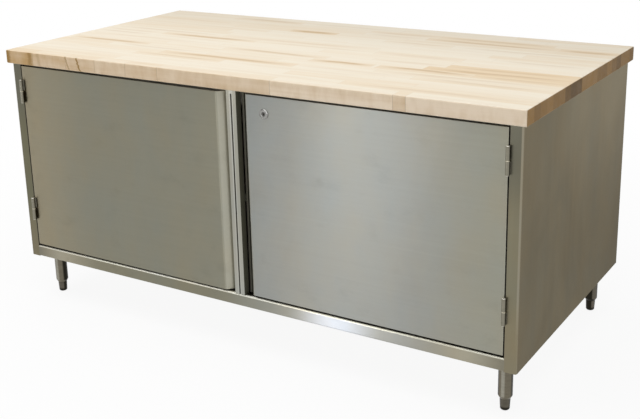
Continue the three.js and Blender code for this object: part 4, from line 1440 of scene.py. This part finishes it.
class WORKBENCH_OT_fittings(bpy.types.Operator):
    """Add the screws under the worktop, the bumpers, the magnet catches, the strikes and the spot welds"""

    bl_idname = "workbench.fittings"
    bl_label = "Small fittings"

    def execute(self, context):
        hardware = context.scene.workbench_hardware
        zinc = turned_metal("Zinc plate", hardware.zinc, 0.3)
        rubber = moulded("Black rubber", hardware.rubber, 0.75)
        plastic = moulded("Catch plastic", hardware.plastic, 0.5)
        self.add_screws(zinc)
        for word, side in SIDES:
            self.add_bumpers(word, rubber)
        for word, side in SIDES:
            self.add_catch(word, plastic, zinc)
        self.add_spot_welds(context.scene.workbench_steel, hardware)
        return {"FINISHED"}

    def add_screws(self, zinc):
        low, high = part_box("top_screw_1")
        far_low, far_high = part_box("top_screw_4")
        head = round_size(low, high)
        under = low.z + SCREW_HEAD
        screw = lathed([
            (0, low.z, 0),
            (head, low.z, 0.0022),
            (head, under, EDGE_ROUND),
            (SCREW_SHANK, under, EDGE_ROUND),
            (SCREW_SHANK, high.z - SCREW_POINT, 0.0005),
            (0, high.z, 0),
        ], SMALL_SIDES)
        for turn in (0, math.pi / 2):
            bottom = (-CROSS_REACH, -CROSS_HALF, low.z - CROSS_MARGIN)
            cross = plate(bottom, (CROSS_REACH, CROSS_HALF, low.z + CROSS_DEPTH), CROSS_EASE, 1)
            screw = cut_from(screw, moved(cross, Matrix.Rotation(turn, 4, "Z")))
        spread = {"Spread X": far_low.x - low.x, "Spread Y": far_low.y - low.y}
        shape = grown(mesh_of(screw), scattered_tree("Screws under the worktop", zinc), spread)
        nodes = [f"top_screw_{number}" for number in range(1, 5)]
        finished("worktop_screws", shape, zinc, "cabinet", "plated_steel", *nodes)

    def add_bumpers(self, word, rubber):
        nodes = [f"{word}_door_bumper_{number}" for number in (1, 2)]
        shapes = []
        for name in nodes:
            low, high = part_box(name)
            middle = (low + high) / 2
            radius = round_size(low, high)
            thick = high.y - low.y
            dome = lathed([
                (0, 0, 0),
                (radius, 0, 0.0002),
                (radius, thick * BUMPER_SIDE, 0.0006),
                (radius * BUMPER_FACE, thick, 0.0012),
                (0, thick, 0),
            ], SMALL_SIDES)
            shapes.append(moved(dome, Matrix.Translation((middle.x, high.y, middle.z)) @ FACING_FRONT))
        finished(f"{word}_bumpers", joined(*shapes), rubber, "cabinet", "bumper_rubber", *nodes)

    def add_catch(self, word, plastic, zinc):
        low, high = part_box(f"{word}_magnet_catch")
        mouth = low.y + POLE_PROUD
        outline = [
            (low.x, low.y + CATCH_CORNER),
            (low.x + CATCH_CORNER, mouth),
            (high.x - CATCH_CORNER, mouth),
            (high.x, low.y + CATCH_CORNER),
            (high.x, high.y),
            (low.x, high.y),
        ]
        case = drawn_out(outline, ALONG_Z, low.z, high.z)
        eased(case, case.edges, CATCH_EASE, segments=2)
        finished(f"{word}_catch_case", case, plastic, "cabinet", "catch_plastic", f"{word}_magnet_catch")
        middle = (low.z + high.z) / 2
        poles = []
        for height in (middle - POLE_SPREAD, middle + POLE_SPREAD):
            bottom = (low.x + POLE_INSET, low.y, height - POLE_HALF)
            top = (high.x - POLE_INSET, low.y + POLE_DEPTH, height + POLE_HALF)
            poles.append(plate(bottom, top, POLE_EASE))
        finished(f"{word}_catch_poles", joined(*poles), zinc, "cabinet", "plated_steel")
        strike = plate(*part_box(f"{word}_strike_plate"))
        finished(f"{word}_strike", strike, zinc, f"{word}_door", "plated_steel", f"{word}_strike_plate")

    def add_spot_welds(self, steel, hardware):
        material = brushed_steel("Spot weld steel", steel.far_panel, ALONG_Z, 0.42)
        across = PANEL_HIGH.x - steel.rear_flange * SPOT_INSET
        rear = PANEL_HIGH.y - hardware.spot_depth / 2
        bottom = PANEL_LOW.z + SPOT_MARGIN
        pitch = (PANEL_HIGH.z - SPOT_MARGIN - bottom) / (SPOT_COUNT - 1)
        heights = [bottom + pitch * step for step in range(SPOT_COUNT)]
        points = [(side * across, rear, height) for word, side in SIDES for height in heights]
        sizes = {"Spot": hardware.spot, "Depth": hardware.spot_depth}
        shape = grown(points_mesh(points), spot_tree(material), sizes)
        finished("rear_spot_welds", shape, material, "cabinet", "cabinet_steel")


class WORKBENCH_OT_inner_steel(bpy.types.Operator):
    """Finish the sheets and brackets that keep their packed shape"""

    bl_idname = "workbench.inner_steel"
    bl_label = "Inner steel"

    def execute(self, context):
        steel = context.scene.workbench_steel
        zinc = turned_metal("Zinc lock parts", context.scene.workbench_hardware.zinc, 0.3)
        inward = [(turned_share(-ALONG_Y, 0.3, 0.8), steel.inside)]
        # Painted shade near the middle, behind the pulls
        shelf_shade = [(axis_share("X", 0.06, 0.04), steel.liner_shade)]
        liner_shade = [(axis_share("X", 0.06, 0.05), steel.liner_shade)]
        sheet = brushed_steel("Mill-finish sheet", steel.inside, ALONG_X, 0.4)
        shelf = brushed_steel("Mill-finish shelf", steel.inside, ALONG_X, 0.4, regions=shelf_shade)
        liner = brushed_steel("Door liner", steel.far_panel, ALONG_X, 0.4, regions=liner_shade)
        back = brushed_steel(
            "Brushed back panel", steel.far_panel, ALONG_Z, 0.4, regions=inward, grazing=steel.grazing
        )
        finishes = dict.fromkeys(("cabinet_floor", "front_top_rail", "rear_top_rail"), sheet)
        finishes |= {"back_panel": back, "interior_shelf": shelf, "lock_nut": zinc, "lock_cam": zinc}
        for word, side in SIDES:
            finishes[f"{word}_shelf_bracket"] = sheet
            finishes[f"{word}_top_channel"] = sheet
            finishes[f"{word}_door_liner"] = liner
        for name, material in finishes.items():
            frame["nodes"][name].material_slots[0].material = material
        return {"FINISHED"}


# Stage

def seen_share(tree):
    """1 for what the camera sees, itself or in a reflection, and 0 for what only lights the bench."""
    path = node(tree, "ShaderNodeLightPath").outputs
    rays = ("Is Camera Ray", "Is Glossy Ray", "Is Transmission Ray")
    return weighted(tree, *((path[ray], 1) for ray in rays), clamp=True)


def floor_material(colour):
    """Pale floor that looks white to the camera and in reflections, and keeps the shadow of the bench."""
    material = bpy.data.materials.new("Pale floor")
    material.use_nodes = True
    tree = material.node_tree
    tree.nodes.clear()
    matte = node(tree, "ShaderNodeBsdfDiffuse", {"Color": opaque(colour)})
    white = node(tree, "ShaderNodeEmission", {"Color": (1, 1, 1, 1), "Strength": 1.0})
    away = vector_maths(tree, "LENGTH", {0: coordinate(tree)}, "Value")
    share = product(tree, seen_share(tree), ranged(tree, away, 1.0, 3.0, 0.9, 1.0, smooth=True))
    mix = node(tree, "ShaderNodeMixShader", {0: share, 1: matte.outputs[0], 2: white.outputs[0]})
    node(tree, "ShaderNodeOutputMaterial", {"Surface": mix.outputs[0]})
    return material


def light_panel(name, power, place, target, size):
    """A rectangular light panel that faces a target and is not seen itself."""
    light = bpy.data.lights.new(name, "AREA")
    light.shape = "RECTANGLE"
    light.size, light.size_y = size
    light.energy = power
    lamp = placed(name, light)
    lamp.location = place
    lamp.rotation_euler = (Vector(target) - Vector(place)).to_track_quat("-Z", "Y").to_euler()
    lamp.visible_camera = False


class WORKBENCH_OT_stage(bpy.types.Operator):
    """Set the pale floor, the soft light and the camera"""

    bl_idname = "workbench.stage"
    bl_label = "Stage"

    def execute(self, context):
        stage = context.scene.workbench_stage
        self.add_floor(stage)
        self.add_light(stage)
        self.add_camera(stage)
        context.scene.view_settings.view_transform = "Standard"
        return {"FINISHED"}

    def add_floor(self, stage):
        shape = bmesh.new()
        bmesh.ops.create_grid(shape, x_segments=1, y_segments=1, size=stage.floor_reach)
        mesh = mesh_of(shape, "floor")
        mesh.materials.append(floor_material(stage.floor))
        placed("floor", mesh)

    def add_light(self, stage):
        world = bpy.data.worlds.new("Soft sky")
        world.use_nodes = True
        tree = world.node_tree
        sky = tree.nodes["Background"]
        sky.inputs["Color"].default_value = (1, 1, 1, 1)
        rise = parts_of(tree, coordinate(tree, "Generated"))["Z"]
        low = ranged(tree, rise, 0.3, 0.14, smooth=True)
        strength = ranged(tree, product(tree, seen_share(tree), low), 0.0, 1.0, stage.sky, 1.0)
        tree.links.new(strength, sky.inputs["Strength"])
        bpy.context.scene.world = world
        light_panel(
            "Overhead panel",
            stage.overhead,
            place=(-0.6, -0.9, 4.4),
            target=(-0.4, -0.2, 0.6),
            size=(7.0, 3.6),
        )
        light_panel(
            "Front panel",
            stage.front_box,
            place=(-1.59, -4.2, 0.6),
            target=(0.3, -0.4, 0.4),
            size=(0.6, 1.1),
        )

    def add_camera(self, stage):
        camera = bpy.data.cameras.new("Camera")
        camera.lens = stage.lens
        camera.sensor_width = 36
        camera.sensor_fit = "HORIZONTAL"
        camera.shift_y = stage.shift
        level = Vector((math.cos(stage.azimuth), math.sin(stage.azimuth), 0))
        outward = Vector((level.y, -level.x, 0))
        back = outward * math.cos(stage.elevation) + ALONG_Z * math.sin(stage.elevation)
        upright = back.cross(level)
        right = level * math.cos(stage.roll) + upright * math.sin(stage.roll)
        up = upright * math.cos(stage.roll) - level * math.sin(stage.roll)
        turn = Matrix((right, up, back)).transposed().to_4x4()
        holder = placed("Camera", camera)
        holder.matrix_world = Matrix.Translation(stage.place) @ turn
        bpy.context.scene.camera = holder


# The add-on

OPERATORS = (
    WORKBENCH_OT_butcher_block,
    WORKBENCH_OT_end_panels,
    WORKBENCH_OT_front_frame,
    WORKBENCH_OT_doors,
    WORKBENCH_OT_hinges,
    WORKBENCH_OT_lock,
    WORKBENCH_OT_legs,
    WORKBENCH_OT_fittings,
    WORKBENCH_OT_inner_steel,
    WORKBENCH_OT_stage,
)

GROUPS = {
    "workbench_block": WorkbenchBlock,
    "workbench_steel": WorkbenchSteel,
    "workbench_hardware": WorkbenchHardware,
    "workbench_stage": WorkbenchStage,
}


class VIEW3D_PT_workbench(bpy.types.Panel):
    """Settings and steps of the workbench"""

    bl_label = "Workbench"
    bl_space_type = "VIEW_3D"
    bl_region_type = "UI"
    bl_category = "Workbench"

    def draw(self, context):
        layout = self.layout
        for operator in OPERATORS:
            layout.operator(operator.bl_idname)
        for name, group in GROUPS.items():
            box = layout.box()
            box.label(text=group.__doc__)
            for setting in group.__annotations__:
                box.prop(getattr(context.scene, name), setting)


def register():
    """Adds the settings, the steps and the panel."""
    for cls in (*GROUPS.values(), *OPERATORS, VIEW3D_PT_workbench):
        bpy.utils.register_class(cls)
    for name, group in GROUPS.items():
        setattr(bpy.types.Scene, name, PointerProperty(type=group))


def unregister():
    """Takes the settings, the steps and the panel away again."""
    for name in GROUPS:
        delattr(bpy.types.Scene, name)
    for cls in (VIEW3D_PT_workbench, *reversed(OPERATORS), *GROUPS.values()):
        bpy.utils.unregister_class(cls)


def main():
    """Builds every piece and sets the stage."""
    register()
    bpy.ops.workbench.butcher_block()
    bpy.ops.workbench.end_panels()
    bpy.ops.workbench.front_frame()
    bpy.ops.workbench.doors()
    bpy.ops.workbench.hinges()
    bpy.ops.workbench.lock()
    bpy.ops.workbench.legs()
    bpy.ops.workbench.fittings()
    bpy.ops.workbench.inner_steel()
    bpy.ops.workbench.stage()


if __name__ == "__main__":
    main()
